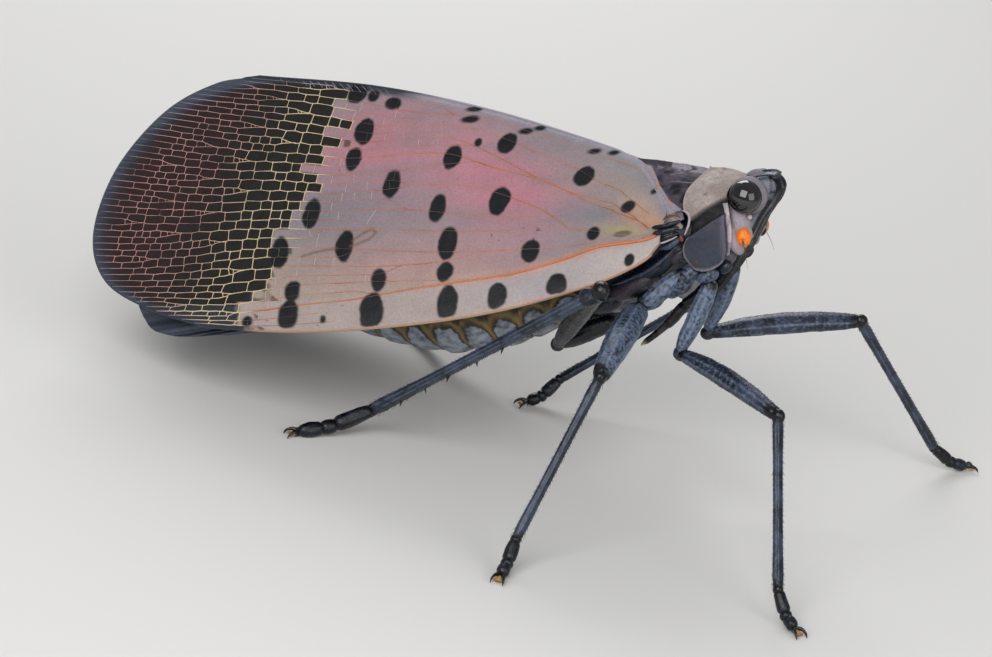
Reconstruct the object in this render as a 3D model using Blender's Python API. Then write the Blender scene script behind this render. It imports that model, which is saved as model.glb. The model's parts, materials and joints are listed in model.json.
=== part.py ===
"""Spotted lanternfly, an adult at rest: a still, life-size model for a museum case.

All sizes are in millimetres until the last step, which writes metres. The insect faces +X and its
left side is +Y. Body parts are drawn in the body's own frame: x forward along the body, y to the
left, z up from the middle of the thorax. The legs from the femur down are drawn from the floor.
"""
import math

import bmesh
import bpy
import numpy as np
from mathutils import Matrix, Vector

MM = 0.001
GAP = 0.3
SHEET = 0.5
SIDES = {"right": -1.0, "left": 1.0}

# How the body is held over the floor.
PITCH = math.radians(20.0)
LEAN = math.radians(5.0)
BODY_AT = (4.53, 0.52, 8.0)

# Wing form: the ridge line, the costal line and the half width of the roof, each as (x, value).
RIDGE = [(3.0, 1.7), (0.0, 2.7), (-4.7, 4.46), (-8.8, 5.65), (-13.1, 6.4), (-16.5, 6.65),
         (-21.0, 6.7)]
COSTAL = [(3.0, 0.6), (-0.9, -0.66), (-5.3, -1.19), (-10.4, -1.22), (-14.2, -0.92), (-21.0, -0.45)]
ROOF = [(3.0, 2.2), (-0.9, 4.0), (-5.3, 5.2), (-10.4, 5.6), (-14.2, 5.25), (-21.0, 4.2)]
ROOF_ROUND = 1.2
RIDGE_SIDE = 0.16

# Fore wing outline in the body's side view, as (x, z), on both sides of its root and round its tip.
TEGMEN_INNER = [(1.25, 1.1), (0.8, 1.72), (0.3, 2.3), (-0.45, 2.85), (-4.7, 4.56), (-8.8, 5.75),
                (-13.1, 6.48)]
TEGMEN_COSTAL = [(1.2, 0.3), (0.7, -0.15), (-0.86, -0.66), (-3.7, -1.1), (-7.0, -1.27),
                 (-10.4, -1.22), (-13.9, -0.92)]
TEGMEN_TIP = [(-13.1, 6.48), (-14.8, 6.36), (-16.5, 5.62), (-18.0, 4.02), (-18.58, 2.1),
              (-17.95, 0.66), (-16.2, -0.25), (-13.9, -0.92)]
PLAIN_LINES = 9
PLAIN_END = 0.6
VEINS = (0.08, 0.2, 0.33, 0.46, 0.59, 0.72, 0.86)
VEIN_HALF = 0.013
VEIN_RISE = 0.14
VEIN_START, VEIN_GROWTH, VEIN_END = 0.05, 0.1, 0.03
CROSS_VEINS = (0.66, 0.74, 0.82, 0.9, 0.96)
CROSS_HALF = 0.007
CROSS_RISE = 0.09
RIDGE_SHARE = 0.15

# Hind wing outline, folded beneath the fore wing; only its lower hind edge looks out.
HINDWING_INNER = [(-0.7, 0.95), (-4.5, 2.5), (-9.0, 3.7), (-13.5, 4.2)]
HINDWING_COSTAL = [(-0.7, 0.25), (-4.5, -0.4), (-9.5, -0.5), (-13.6, -0.75)]
HINDWING_TIP = [(-13.5, 4.2), (-16.0, 3.4), (-17.2, 1.6), (-16.9, -0.1), (-15.8, -0.72),
                (-13.6, -0.75)]
HINDWING_LINES = 11
HINDWING_PLEATS = 6
PLEAT_RISE = 0.1
PLEAT_START = 0.3
HINDWING_UNDER = (0.0, -0.7, -0.6)


def smooth(points, count):
    """Points at even steps along a Catmull-Rom curve through the given ones."""
    ends = [2 * np.array(points[0], float) - np.array(points[1], float)]
    tail = [2 * np.array(points[-1], float) - np.array(points[-2], float)]
    knots = ends + [np.array(p, float) for p in points] + tail
    fine = []
    for i in range(1, len(knots) - 2):
        before, start, end, after = knots[i - 1:i + 3]
        for t in np.linspace(0.0, 1.0, 20, endpoint=False):
            bend = (2 * before - 5 * start + 4 * end - after) * t ** 2
            turn = (3 * start - before - 3 * end + after) * t ** 3
            fine.append(0.5 * (2 * start + (end - before) * t + bend + turn))
    fine.append(knots[-2])
    fine = np.array(fine)
    steps = np.linalg.norm(np.diff(fine, axis=0), axis=1)
    along = np.concatenate([[0.0], np.cumsum(steps)]) / steps.sum()
    wanted = np.linspace(0.0, 1.0, count) if np.isscalar(count) else np.asarray(count)
    return np.stack([np.interp(wanted, along, fine[:, k]) for k in range(fine.shape[1])], axis=1)


def profile(points):
    """A smooth function of x through (x, value) points whose x falls."""
    line = smooth(points, 200)
    return lambda x: np.interp(-np.asarray(x, float), -line[:, 0], line[:, 1])


ridge_height = profile(RIDGE)
costal_height = profile(COSTAL)
roof_half = profile(ROOF)


def roof_side(x, z):
    """How far out the folded wing's surface lies at a place of the side view."""
    span = ridge_height(x) - costal_height(x)
    rest = 1.0 - np.maximum((ridge_height(x) - z) / span, 0.0)
    arch = 1.0 - np.sign(rest) * np.abs(rest) ** ROOF_ROUND
    return RIDGE_SIDE + (roof_half(x) - RIDGE_SIDE) * arch


def body_pose():
    """The body's place and tilt over the floor, in millimetres."""
    turn = Matrix.Rotation(-PITCH, 4, "Y") @ Matrix.Rotation(-LEAN, 4, "X")
    return Matrix.Translation(BODY_AT) @ turn


POSE = body_pose()
STILL = Matrix.Identity(4)
PARTS = bpy.data.collections.new("spotted_lanternfly")


def material(name, colour, roughness):
    made = bpy.data.materials.new(name)
    made.use_nodes = True
    shader = made.node_tree.nodes["Principled BSDF"]
    shader.inputs["Base Color"].default_value = (*colour, 1.0)
    shader.inputs["Roughness"].default_value = roughness
    return made


def add_mesh(name, mesh, pose=STILL):
    piece = bpy.data.objects.new(name, mesh)
    piece.matrix_world = pose
    bpy.context.scene.collection.objects.link(piece)
    return piece


def from_bmesh(name, bm, pose=STILL):
    bmesh.ops.recalc_face_normals(bm, faces=bm.faces)
    mesh = bpy.data.meshes.new(name)
    bm.to_mesh(mesh)
    bm.free()
    return add_mesh(name, mesh, pose)


def loft(name, rings):
    """A closed skin over rings of the body, with a fan at each end."""
    bm = bmesh.new()
    loops = [[bm.verts.new(Vector(p)) for p in ring] for ring in rings]
    count = len(loops[0])
    for low, high in zip(loops, loops[1:]):
        for k in range(count):
            n = (k + 1) % count
            bm.faces.new((low[k], low[n], high[n], high[k]))
    for ring in (loops[0], loops[-1]):
        middle = bm.verts.new(sum((v.co for v in ring), Vector()) / count)
        for k in range(count):
            bm.faces.new((ring[k], ring[(k + 1) % count], middle))
    return from_bmesh(name, bm, POSE)


def shell(name, outer, inner):
    """A closed plate of the body between two grids of points, both split into triangles alike."""
    bm = bmesh.new()
    rows, columns = len(outer), len(outer[0])
    top = [[bm.verts.new(Vector(p)) for p in row] for row in outer]
    low = [[bm.verts.new(Vector(p)) for p in row] for row in inner]
    for grid in (top, low):
        for i in range(rows - 1):
            for j in range(columns - 1):
                a, b, c, d = grid[i][j], grid[i + 1][j], grid[i + 1][j + 1], grid[i][j + 1]
                bm.faces.new((a, b, c))
                bm.faces.new((a, c, d))
    rim = [(i, 0) for i in range(rows)] + [(rows - 1, j) for j in range(1, columns)]
    rim += [(i, columns - 1) for i in range(rows - 2, -1, -1)]
    rim += [(0, j) for j in range(columns - 2, 0, -1)]
    for (i, j), (m, n) in zip(rim, rim[1:] + rim[:1]):
        bm.faces.new((top[i][j], top[m][n], low[m][n]))
        bm.faces.new((top[i][j], low[m][n], low[i][j]))
    return from_bmesh(name, bm, POSE)


def tube(name, points, radii, pose=STILL, resolution=3):
    """A round limb: a curve with a bevel, made a mesh with its caps welded."""
    curve = bpy.data.curves.new(name, "CURVE")
    curve.dimensions = "3D"
    curve.bevel_depth = 1.0
    curve.bevel_resolution = resolution
    curve.use_fill_caps = True
    spline = curve.splines.new("POLY")
    spline.points.add(len(points) - 1)
    for point, place, radius in zip(spline.points, points, radii):
        point.co = (*place, 1.0)
        point.radius = radius
    guide = add_mesh(name, curve, pose)
    bpy.context.view_layer.update()
    evaluated = guide.evaluated_get(bpy.context.evaluated_depsgraph_get())
    mesh = bpy.data.meshes.new_from_object(evaluated)
    bpy.data.objects.remove(guide)
    bm = bmesh.new()
    bm.from_mesh(mesh)
    bmesh.ops.remove_doubles(bm, verts=bm.verts, dist=1e-4)
    return from_bmesh(name, bm, pose)


def ball(name, centre, radii, pose=STILL, segments=16, rings=10):
    bm = bmesh.new()
    bmesh.ops.create_uvsphere(bm, u_segments=segments, v_segments=rings, radius=1.0)
    bmesh.ops.transform(bm, verts=bm.verts, matrix=Matrix.Diagonal((*radii, 1.0)))
    bmesh.ops.translate(bm, verts=bm.verts, vec=Vector(centre))
    return from_bmesh(name, bm, pose)


def cone(name, base, tip, radius, tip_radius=0.03, pose=STILL, sides=6):
    base, tip = Vector(base), Vector(tip)
    bm = bmesh.new()
    bmesh.ops.create_cone(bm, cap_ends=True, segments=sides, radius1=radius, radius2=tip_radius,
                          depth=(tip - base).length)
    turn = (tip - base).to_track_quat("Z", "Y").to_matrix().to_4x4()
    place = Matrix.Translation((base + tip) / 2) @ turn
    bmesh.ops.transform(bm, verts=bm.verts, matrix=place)
    return from_bmesh(name, bm, pose)


def block(name, low, high, pose=STILL):
    bm = bmesh.new()
    bmesh.ops.create_cube(bm, size=1.0)
    size = Vector(high) - Vector(low)
    place = Matrix.Translation((Vector(high) + Vector(low)) / 2) @ Matrix.Diagonal((*size, 1.0))
    bmesh.ops.transform(bm, verts=bm.verts, matrix=place)
    return from_bmesh(name, bm, pose)


def closed_surfaces(bm):
    """The mesh's points, sorted into groups that hang together."""
    waiting = set(bm.verts)
    groups = []
    while waiting:
        seed = waiting.pop()
        group, edge = {seed}, [seed]
        while edge:
            vert = edge.pop()
            for link in vert.link_edges:
                other = link.other_vert(vert)
                if other in waiting:
                    waiting.discard(other)
                    group.add(other)
                    edge.append(other)
        groups.append(group)
    return groups


def volume(group):
    """The volume that a closed surface holds."""
    total = 0.0
    for face in {f for v in group for f in v.link_faces}:
        a = face.verts[0].co
        for b, c in zip(face.verts[1:], face.verts[2:]):
            total += a.dot(b.co.cross(c.co)) / 6.0
    return abs(total)


def keep_largest(mesh):
    """Keeps the closed surface with the largest volume, so a node stays one body."""
    bm = bmesh.new()
    bm.from_mesh(mesh)
    best = max(closed_surfaces(bm), key=volume)
    bmesh.ops.delete(bm, geom=[v for v in bm.verts if v not in best], context="VERTS")
    bm.to_mesh(mesh)
    bm.free()


def boolean(target, others, operation):
    """One Boolean with a collection of closed meshes, applied; the others are then removed."""
    group = bpy.data.collections.new("operands")
    bpy.context.scene.collection.children.link(group)
    for other in others:
        group.objects.link(other)
    change = target.modifiers.new("join", "BOOLEAN")
    change.operation = operation
    change.operand_type = "COLLECTION"
    change.collection = group
    change.solver = "EXACT"
    bpy.context.view_layer.update()
    evaluated = target.evaluated_get(bpy.context.evaluated_depsgraph_get())
    mesh = bpy.data.meshes.new_from_object(evaluated)
    target.modifiers.remove(change)
    target.data = mesh
    for other in others:
        bpy.data.objects.remove(other)
    bpy.data.collections.remove(group)
    keep_largest(target.data)
    return target


def fuse(target, others):
    return boolean(target, others, "UNION")


def cut(target, others):
    return boolean(target, others, "DIFFERENCE")


def grown(source):
    """A copy of a smooth closed piece, larger by the gap all round, to cut room for it with."""
    mesh = source.data.copy()
    bm = bmesh.new()
    bm.from_mesh(mesh)
    bm.normal_update()
    moved = [v.co + v.normal * GAP for v in bm.verts]
    for vert, place in zip(bm.verts, moved):
        vert.co = place
    bm.to_mesh(mesh)
    bm.free()
    return add_mesh(source.name + "_room", mesh, source.matrix_world.copy())


# Thorax, as (x, half width, widest level, top, bottom).
THORAX = [(2.75, 0.75, 0.3, 1.0, -0.25), (2.2, 1.15, 0.3, 1.25, -0.5), (1.4, 1.5, 0.2, 1.3, -0.95),
          (0.6, 1.8, 0.0, 1.35, -1.55), (-0.4, 1.9, -0.3, 1.4, -2.15), (-1.3, 1.9, -0.5, 1.35, -2.35),
          (-2.1, 1.9, -0.6, 1.3, -2.2)]
THORAX_RINGS = 9
THORAX_CROWN = 1.5
# Abdomen, in the same way; the three lengths are cut from one row of rings.
ABDOMEN = [(-2.4, 1.95, -0.7, 1.1, -2.2), (-3.6, 2.25, -0.8, 1.0, -2.75),
           (-5.2, 2.45, -0.9, 1.15, -3.2), (-7.2, 2.45, -0.95, 1.3, -3.3),
           (-9.0, 2.15, -0.9, 1.25, -2.95), (-10.6, 1.55, -0.85, 0.8, -2.35),
           (-11.9, 0.6, -0.8, -0.2, -1.5)]
ABDOMEN_CROWN = 1.6
ABDOMEN_LENGTHS = {"abdomen_front": (-2.4, -5.35), "abdomen_middle": (-5.65, -8.75),
                   "abdomen_tip": (-9.05, -11.9)}
RING_LENGTH = 1.0
RING_LAP = 0.12
RING_SHRINK = 0.04
END_SHRINK = 0.07
RING_CORE = -0.9
SECTION_COUNT = 20
ROUND = 2.0


def body_row(table, x, crown):
    """A cross section of the body at any x, widest at its middle level and peaked by its crown."""
    line = smooth(table, 120)
    half, middle, top, bottom = (np.interp(-x, -line[:, 0], line[:, k]) for k in range(1, 5))
    ring = []
    for k in range(SECTION_COUNT):
        angle = 2 * math.pi * k / SECTION_COUNT
        c, s = math.cos(angle), math.sin(angle)
        power, reach = (crown, top - middle) if s > 0 else (ROUND, middle - bottom)
        y = half * math.copysign(abs(c) ** (2 / power), c)
        z = middle + reach * math.copysign(abs(s) ** (2 / power), s)
        ring.append((x, y, z))
    return ring


def make_thorax():
    xs = np.linspace(THORAX[0][0], THORAX[-1][0], THORAX_RINGS)
    return loft("thorax", [body_row(THORAX, x, THORAX_CROWN) for x in xs])


def shrunk(ring, share):
    """A cross section drawn in towards its core by a share of its size."""
    keep = 1.0 - share
    return [(x, y * keep, RING_CORE + (z - RING_CORE) * keep) for x, y, z in ring]


def make_abdomen(name):
    """One length of the abdomen, with a step where each ring's plate laps the next."""
    start, end = ABDOMEN_LENGTHS[name]
    count = max(1, round((start - end) / RING_LENGTH))
    step = (end - start) / count
    rings = []
    for k in range(count):
        front = start + step * k
        rings.append(shrunk(body_row(ABDOMEN, front, ABDOMEN_CROWN), RING_SHRINK))
        rings.append(body_row(ABDOMEN, front + step + RING_LAP, ABDOMEN_CROWN))
    rings.append(shrunk(body_row(ABDOMEN, end, ABDOMEN_CROWN), END_SHRINK))
    return loft(name, rings)


# Pronotum: its hind and fore edges from the midline over the side to the foot of the lobe.
PRONOTUM_HIND = [(2.33, 0.0, 2.14), (2.08, 0.6, 1.95), (1.8, 1.2, 1.6), (1.82, 1.7, 1.2),
                 (2.1, 2.02, 0.8), (2.02, 2.17, 0.4), (1.8, 2.16, 0.05), (1.78, 2.1, -0.3),
                 (1.98, 1.95, -0.72)]
PRONOTUM_FORE = [(3.5, 0.0, 1.8), (3.36, 0.4, 1.74), (2.9, 0.85, 1.6), (2.72, 1.25, 1.34),
                 (2.76, 1.48, 0.95), (2.92, 1.55, 0.5), (2.95, 1.56, 0.1), (2.95, 1.54, -0.3),
                 (2.85, 1.5, -0.62)]
PRONOTUM_ROWS = 5
PRONOTUM_COLUMNS = 12
PRONOTUM_ARCH = 0.1
FOOT_SAG = 0.2
FOOT_START = 0.8
PLATE = 0.5
# The plate's edges run aslant, so a gap beside them takes a longer step along the plate.
EDGE_SLANT = 1.5


def pronotum_grids(grow):
    """Outer and inner points of the saddle-shaped shield, larger by grow on every face."""
    hind = smooth(PRONOTUM_HIND, PRONOTUM_COLUMNS)
    fore = smooth(PRONOTUM_FORE, PRONOTUM_COLUMNS)
    if grow:
        away = (hind - fore) / np.linalg.norm(hind - fore, axis=1)[:, None] * grow * EDGE_SLANT
        hind, fore = hind + away, fore - away
        hind[-1, 2] -= grow
        fore[-1, 2] -= grow
    sag = np.interp(np.linspace(0.0, 1.0, PRONOTUM_COLUMNS), (FOOT_START, 1.0), (0.0, FOOT_SAG))
    outer, inner = [], []
    for t in np.linspace(0.0, 1.0, PRONOTUM_ROWS):
        row = hind * (1 - t) + fore * t
        row[:, 2] += (PRONOTUM_ARCH - sag) * math.sin(math.pi * t)
        full = np.concatenate([row[:0:-1] * (1.0, -1.0, 1.0), row])
        slope = np.gradient(full, axis=0)
        normal = np.stack([np.zeros(len(full)), -slope[:, 2], slope[:, 1]], axis=1)
        normal /= np.linalg.norm(normal, axis=1)[:, None]
        outer.append(full + normal * grow)
        inner.append(full - normal * (PLATE + grow))
    return outer, inner


def make_pronotum():
    return shell("pronotum", *pronotum_grids(0.0))


def pronotum_room():
    return shell("pronotum_room", *pronotum_grids(GAP))


# The pointed plate between the wing roots, from its fore edge at the midline to its hind point.
MESONOTUM_FRONT, MESONOTUM_END = 2.0, 0.4
MESONOTUM_SWEEP = 0.5
MESONOTUM_HALF = 1.15
MESONOTUM_TAPER = 0.85
MESONOTUM_HEIGHT, MESONOTUM_CLIMB = 2.16, 0.26
MESONOTUM_CURVE = 0.42
MESONOTUM_UNDER = 0.9


def make_mesonotum():
    """The pointed plate between the wing roots."""
    outer, inner = [], []
    for t in np.linspace(0.0, 1.0, 6):
        top_row, low_row = [], []
        for a in np.linspace(-1.0, 1.0, 9):
            y = a * MESONOTUM_HALF * (1 - MESONOTUM_TAPER * t)
            x = (MESONOTUM_FRONT - MESONOTUM_SWEEP * abs(a)) * (1 - t) + MESONOTUM_END * t
            z = MESONOTUM_HEIGHT + MESONOTUM_CLIMB * t - MESONOTUM_CURVE * y * y
            top_row.append((x, y, z))
            low_row.append((x, y * MESONOTUM_UNDER, z - SHEET))
        outer.append(top_row)
        inner.append(low_row)
    return shell("mesonotum", outer, inner)


# Head stations from the brow down the face to the mouth: (fore x, fore z, hind x, hind z, half width).
HEAD = [(4.44, 1.84, 3.85, 1.8, 0.32), (4.62, 1.7, 3.65, 1.75, 0.46), (4.7, 1.44, 3.42, 1.6, 0.54),
        (4.64, 1.18, 3.26, 1.26, 0.6), (4.44, 0.92, 3.22, 0.96, 0.68), (4.16, 0.66, 3.2, 0.7, 0.74),
        (3.9, 0.33, 3.15, 0.3, 0.8), (3.7, -0.05, 2.98, -0.02, 0.84), (3.4, -0.5, 2.72, -0.35, 0.82),
        (3.04, -0.98, 2.36, -0.72, 0.74), (2.6, -1.45, 1.96, -1.15, 0.6),
        (2.15, -1.86, 1.6, -1.52, 0.46), (1.6, -2.16, 1.2, -1.86, 0.32), (0.95, -2.38, 0.8, -2.1, 0.2)]
HEAD_ROWS = 13
HEAD_COUNT = 16
HEAD_SQUARE = 0.72
KEELS = (-0.86, -0.3, 0.3, 0.86)
KEEL_SPAN = (0.12, 0.78)
KEEL_POINTS = 7
KEEL_RADIUS = 0.075
KEEL_RISE = 0.02
KEEL_SINK = 0.14
BROW = [(4.1, -0.46, 1.86), (4.48, -0.34, 1.8), (4.62, 0.0, 1.78), (4.48, 0.34, 1.8), (4.1, 0.46, 1.86)]
BROW_RADIUS = 0.08
EYE_AT = (3.69, 0.98, 1.29)
EYE_RADII = (0.54, 0.54, 0.56)
EYE_WELL = 0.8
WELL_FLOOR = 0.44
FEELER_AT = (3.48, 1.1, 0.0)
FEELER_RADII = (0.27, 0.27, 0.31)


def keel_line(half_share):
    """Points down the face at a share of its half width, to run a keel along."""
    points = []
    for fore_x, fore_z, hind_x, hind_z, half in smooth(HEAD, np.linspace(*KEEL_SPAN, KEEL_POINTS)):
        back = Vector((hind_x - fore_x, 0.0, hind_z - fore_z))
        sink = KEEL_SINK * abs(half_share) ** 4 * back.length - KEEL_RISE
        points.append(Vector((fore_x, half * half_share, fore_z)) + back.normalized() * sink)
    return points


def make_head():
    rings = []
    for fore_x, fore_z, hind_x, hind_z, half in smooth(HEAD, HEAD_ROWS):
        fore, hind = np.array([fore_x, 0.0, fore_z]), np.array([hind_x, 0.0, hind_z])
        ring = []
        for k in range(HEAD_COUNT):
            angle = 2 * math.pi * k / HEAD_COUNT
            c, s = math.cos(angle), math.sin(angle)
            across = math.copysign(abs(s) ** HEAD_SQUARE, s)
            along = 0.5 - 0.5 * math.copysign(abs(c) ** HEAD_SQUARE, c)
            ring.append(fore + (hind - fore) * along + np.array([0.0, half * across, 0.0]))
        rings.append(ring)
    head = loft("head", rings)
    ridges = [tube("keel", keel_line(share), [KEEL_RADIUS] * KEEL_POINTS, POSE, 1) for share in KEELS]
    ridges.append(tube("brow", BROW, [BROW_RADIUS] * len(BROW), POSE, 1))
    fuse(head, ridges)
    rooms = [pronotum_room()]
    for side in SIDES.values():
        x, y, z = EYE_AT
        floor, mouth = (x, side * WELL_FLOOR, z), (x, side * 2 * y, z)
        rooms.append(cone("well", floor, mouth, EYE_WELL, EYE_WELL, POSE, 16))
        x, y, z = FEELER_AT
        socket = [radius + GAP for radius in FEELER_RADII]
        rooms.append(ball("socket", (x, side * y, z), socket, POSE, 12, 8))
    return cut(head, rooms)


def make_eye(name, side):
    """An eye with its hidden side trimmed flat over the floor of its well."""
    x, y, z = EYE_AT
    eye = ball(name, (x, side * y, z), EYE_RADII, POSE)
    low, high = sorted((side * (WELL_FLOOR + GAP), -side * y))
    return cut(eye, [block("eye_trim", (x - 1, low, z - 1), (x + 1, high, z + 1), POSE)])


def make_antenna(name, side):
    """The feeler's swollen second joint with its bristle."""
    x, y, z = FEELER_AT
    centre = Vector((x, side * y, z))
    antenna = ball(name, centre, FEELER_RADII, POSE, 12, 7)
    steps = [(0.0, 0.1, -0.12), (0.06, 0.26, -0.34), (0.12, 0.4, -0.62), (0.16, 0.48, -0.95)]
    bristle = [centre + Vector((ahead, side * aside, down)) for ahead, aside, down in steps]
    return fuse(antenna, [tube("bristle", bristle, [0.1, 0.06, 0.04, 0.025], POSE, 1)])


ROSTRUM = [(0.62, 0.0, -2.5), (0.4, 0.0, -2.72), (0.05, 0.0, -2.98), (-0.4, 0.0, -3.28),
           (-0.85, 0.0, -3.55)]
ROSTRUM_RADII = [0.2, 0.26, 0.24, 0.2, 0.12]


def make_rostrum():
    return tube("rostrum", ROSTRUM, ROSTRUM_RADII, POSE)


def wing_net(inner_edge, costal_edge, tip_edge, u_lines, v_lines):
    """Side-view points of a wing, between its two long edges and stretched to its tip margin."""
    inner, costal = smooth(inner_edge, u_lines), smooth(costal_edge, u_lines)
    tip = smooth(tip_edge, v_lines)
    u, v = np.asarray(u_lines)[:, None, None], np.asarray(v_lines)[None, :, None]
    span = inner[:, None] * (1 - v) + costal[:, None] * v
    return span + (tip[None] - span[-1:]) * u


def roof_points(net):
    """Points on the folded wing's surface and the way out from it."""
    x, z = net[..., 0], net[..., 1]
    step = 0.02
    y = roof_side(x, z)
    slope_x = (roof_side(x + step, z) - y) / step
    slope_z = (roof_side(x, z + step) - y) / step
    out = np.stack([-slope_x, np.ones_like(x), -slope_z], axis=-1)
    out /= np.linalg.norm(out, axis=-1)[..., None]
    return np.stack([x, y, z], axis=-1), out


def lines_with(plain, ridges, half):
    """Grid lines for a sheet: plain ones, and three for each ridge."""
    lines = list(plain)
    for place in ridges:
        lines = [p for p in lines if abs(p - place) > 2.5 * half]
        lines += [place - half, place, place + half]
    return np.array(sorted(lines))


def vein_rise(u_lines, v_lines):
    """How far each point of a fore wing's grid is raised by the veins that pass it."""
    rise = np.zeros((len(u_lines), len(v_lines)))
    grown_in = np.clip((u_lines - VEIN_START) / VEIN_GROWTH, 0.0, 1.0)
    dying_out = np.clip((1.0 - u_lines) / VEIN_END, 0.0, 1.0)
    for place in VEINS:
        rise[:, int(np.argmin(np.abs(v_lines - place)))] = VEIN_RISE * grown_in * dying_out
    for number, place in enumerate(CROSS_VEINS):
        row = int(np.argmin(np.abs(u_lines - place)))
        for cell in range(number % 2, len(VEINS) - 1, 2):
            left = int(np.argmin(np.abs(v_lines - VEINS[cell] - VEIN_HALF)))
            rise[row, left:left + 2] = CROSS_RISE
    return rise


def make_tegmen(name, side):
    """Fore wing: long veins from root to tip, and cross veins in its netted end."""
    v_lines = lines_with((0.0, 1.0), VEINS, VEIN_HALF)
    plain = np.linspace(0.0, PLAIN_END, PLAIN_LINES).tolist() + [1.0]
    u_lines = lines_with(plain, CROSS_VEINS, CROSS_HALF)
    net = wing_net(TEGMEN_INNER, TEGMEN_COSTAL, TEGMEN_TIP, u_lines, v_lines)
    points, out = roof_points(net)
    away = np.clip(v_lines / RIDGE_SHARE, 0.0, 1.0)[None, :, None]
    inward = away * -out + (1 - away) * np.array([0.0, 0.0, -1.0])
    inward /= np.linalg.norm(inward, axis=-1)[..., None]
    inner = points + inward * SHEET
    inner[..., 1] = np.maximum(inner[..., 1], RIDGE_SIDE)
    outer = points + out * vein_rise(u_lines, v_lines)[..., None]
    flip = np.array([1.0, side, 1.0])
    return shell(name, outer * flip, inner * flip)


def make_hindwing(name, side):
    """The folded hind wing, a pleated sheet under the fore wing."""
    v_lines = np.linspace(0.0, 1.0, 2 * HINDWING_PLEATS + 1)
    u_lines = np.linspace(0.0, 1.0, HINDWING_LINES)
    net = wing_net(HINDWING_INNER, HINDWING_COSTAL, HINDWING_TIP, u_lines, v_lines)
    points, out = roof_points(net)
    outer = points + np.array(HINDWING_UNDER)
    folds = np.where(np.arange(len(v_lines)) % 2 == 1, PLEAT_RISE, 0.0)
    rise = folds[None, :] * np.clip(u_lines / PLEAT_START, 0.0, 1.0)[:, None]
    inner = outer - out * (SHEET + rise)[..., None]
    flip = np.array([1.0, side, 1.0])
    return shell(name, outer * flip, inner * flip)


TEGULA_AT = (1.66, 2.3, 0.72)
TEGULA_RADII = (0.2, 0.24, 0.34)


def make_tegula(name, side):
    x, y, z = TEGULA_AT
    return ball(name, (x, side * y, z), TEGULA_RADII, POSE, 10, 7)


# Legs. Coxae run in the body's frame from the thorax to the trochanter's end.
COXAE = {
    "front": [(2.15, 1.3, -1.62), (1.65, 1.42, -2.5), (1.15, 1.5, -3.25), (1.0, 1.5, -3.6)],
    "mid": [(1.15, 1.62, -1.15), (0.7, 1.82, -1.45), (0.2, 2.05, -1.8), (0.0, 2.15, -1.95)],
    "hind": [(-1.5, 1.15, -2.55), (-2.2, 1.3, -2.75), (-2.9, 1.4, -2.95), (-3.2, 1.45, -3.05)],
}
COXA_RADII = {"front": (0.36, 0.42, 0.36, 0.2), "mid": (0.34, 0.42, 0.36, 0.2),
              "hind": (0.36, 0.44, 0.38, 0.2)}
# Knee, ankle and claw tip of each leg, from the floor.
LEGS = {
    ("front", "right"): ((10.8, -4.15, 5.15), (12.6, -7.55, 0.95), (13.85, -8.5, 0.0)),
    ("front", "left"): ((11.2, 4.2, 5.75), (14.1, 7.05, 0.9), (15.5, 8.3, 0.0)),
    ("mid", "right"): ((5.5, -6.6, 5.75), (4.55, -9.55, 0.95), (4.6, -11.1, 0.0)),
    ("mid", "left"): ((5.12, 6.7, 3.95), (1.53, 3.58, 0.95), (0.47, 2.38, 0.0)),
    ("hind", "right"): ((4.55, -4.85, 7.85), (-2.75, -3.25, 0.95), (-5.0, -5.2, 0.0)),
    ("hind", "left"): ((4.75, 5.75, 6.9), (-2.75, 4.2, 0.95), (-5.2, 6.1, 0.0)),
}
FEMUR_RADII = {"front": (0.3, 0.37, 0.36, 0.3), "mid": (0.34, 0.44, 0.42, 0.3),
               "hind": (0.34, 0.42, 0.38, 0.3)}
TIBIA_RADII = {"front": (0.27, 0.25, 0.25, 0.27), "mid": (0.27, 0.25, 0.25, 0.27),
               "hind": (0.3, 0.25, 0.26, 0.33)}
FEMUR_BOW = (0.0, 0.0, 0.12)
STRAIGHT = (0.0, 0.0, 0.0)
JOINT_SPACE = 0.17
JOINT_TIP = 0.12
JOINT_ROUND = 0.22


def limb(name, start, end, radii, bow, grow=0.0):
    """A leg segment between two joints, rounded off a little short of each."""
    start, end = Vector(start), Vector(end)
    way = (end - start).normalized()
    first, last = start + way * (JOINT_SPACE - grow), end - way * (JOINT_SPACE - grow)
    near = JOINT_ROUND / (last - first).length
    stations = [0.0, near, 0.3, 0.65, 1.0 - near, 1.0]
    sizes = [size + grow for size in (JOINT_TIP, *radii, JOINT_TIP)]
    points = [first.lerp(last, t) + Vector(bow) * math.sin(math.pi * t) for t in stations]
    return tube(name, points, sizes)


def make_coxa(name, leg, side):
    points = [Vector((x, side * y, z)) for x, y, z in COXAE[leg]]
    points[-1] += (points[-2] - points[-1]).normalized() * JOINT_SPACE
    return tube(name, points, COXA_RADII[leg], POSE)


def trochanter_end(leg, side):
    x, y, z = COXAE[leg][-1]
    return POSE @ Vector((x, side * y, z))


SPINES = (0.35, 0.5, 0.64, 0.77, 0.88)
SPINE_RADIUS, SPINE_LENGTH = 0.12, 0.55
SPINE_ASIDE, SPINE_AHEAD = 0.55, 0.8
CROWN_COUNT = 6
CROWN_BACK, CROWN_ASIDE, CROWN_AHEAD = 0.42, 0.46, 0.34


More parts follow.
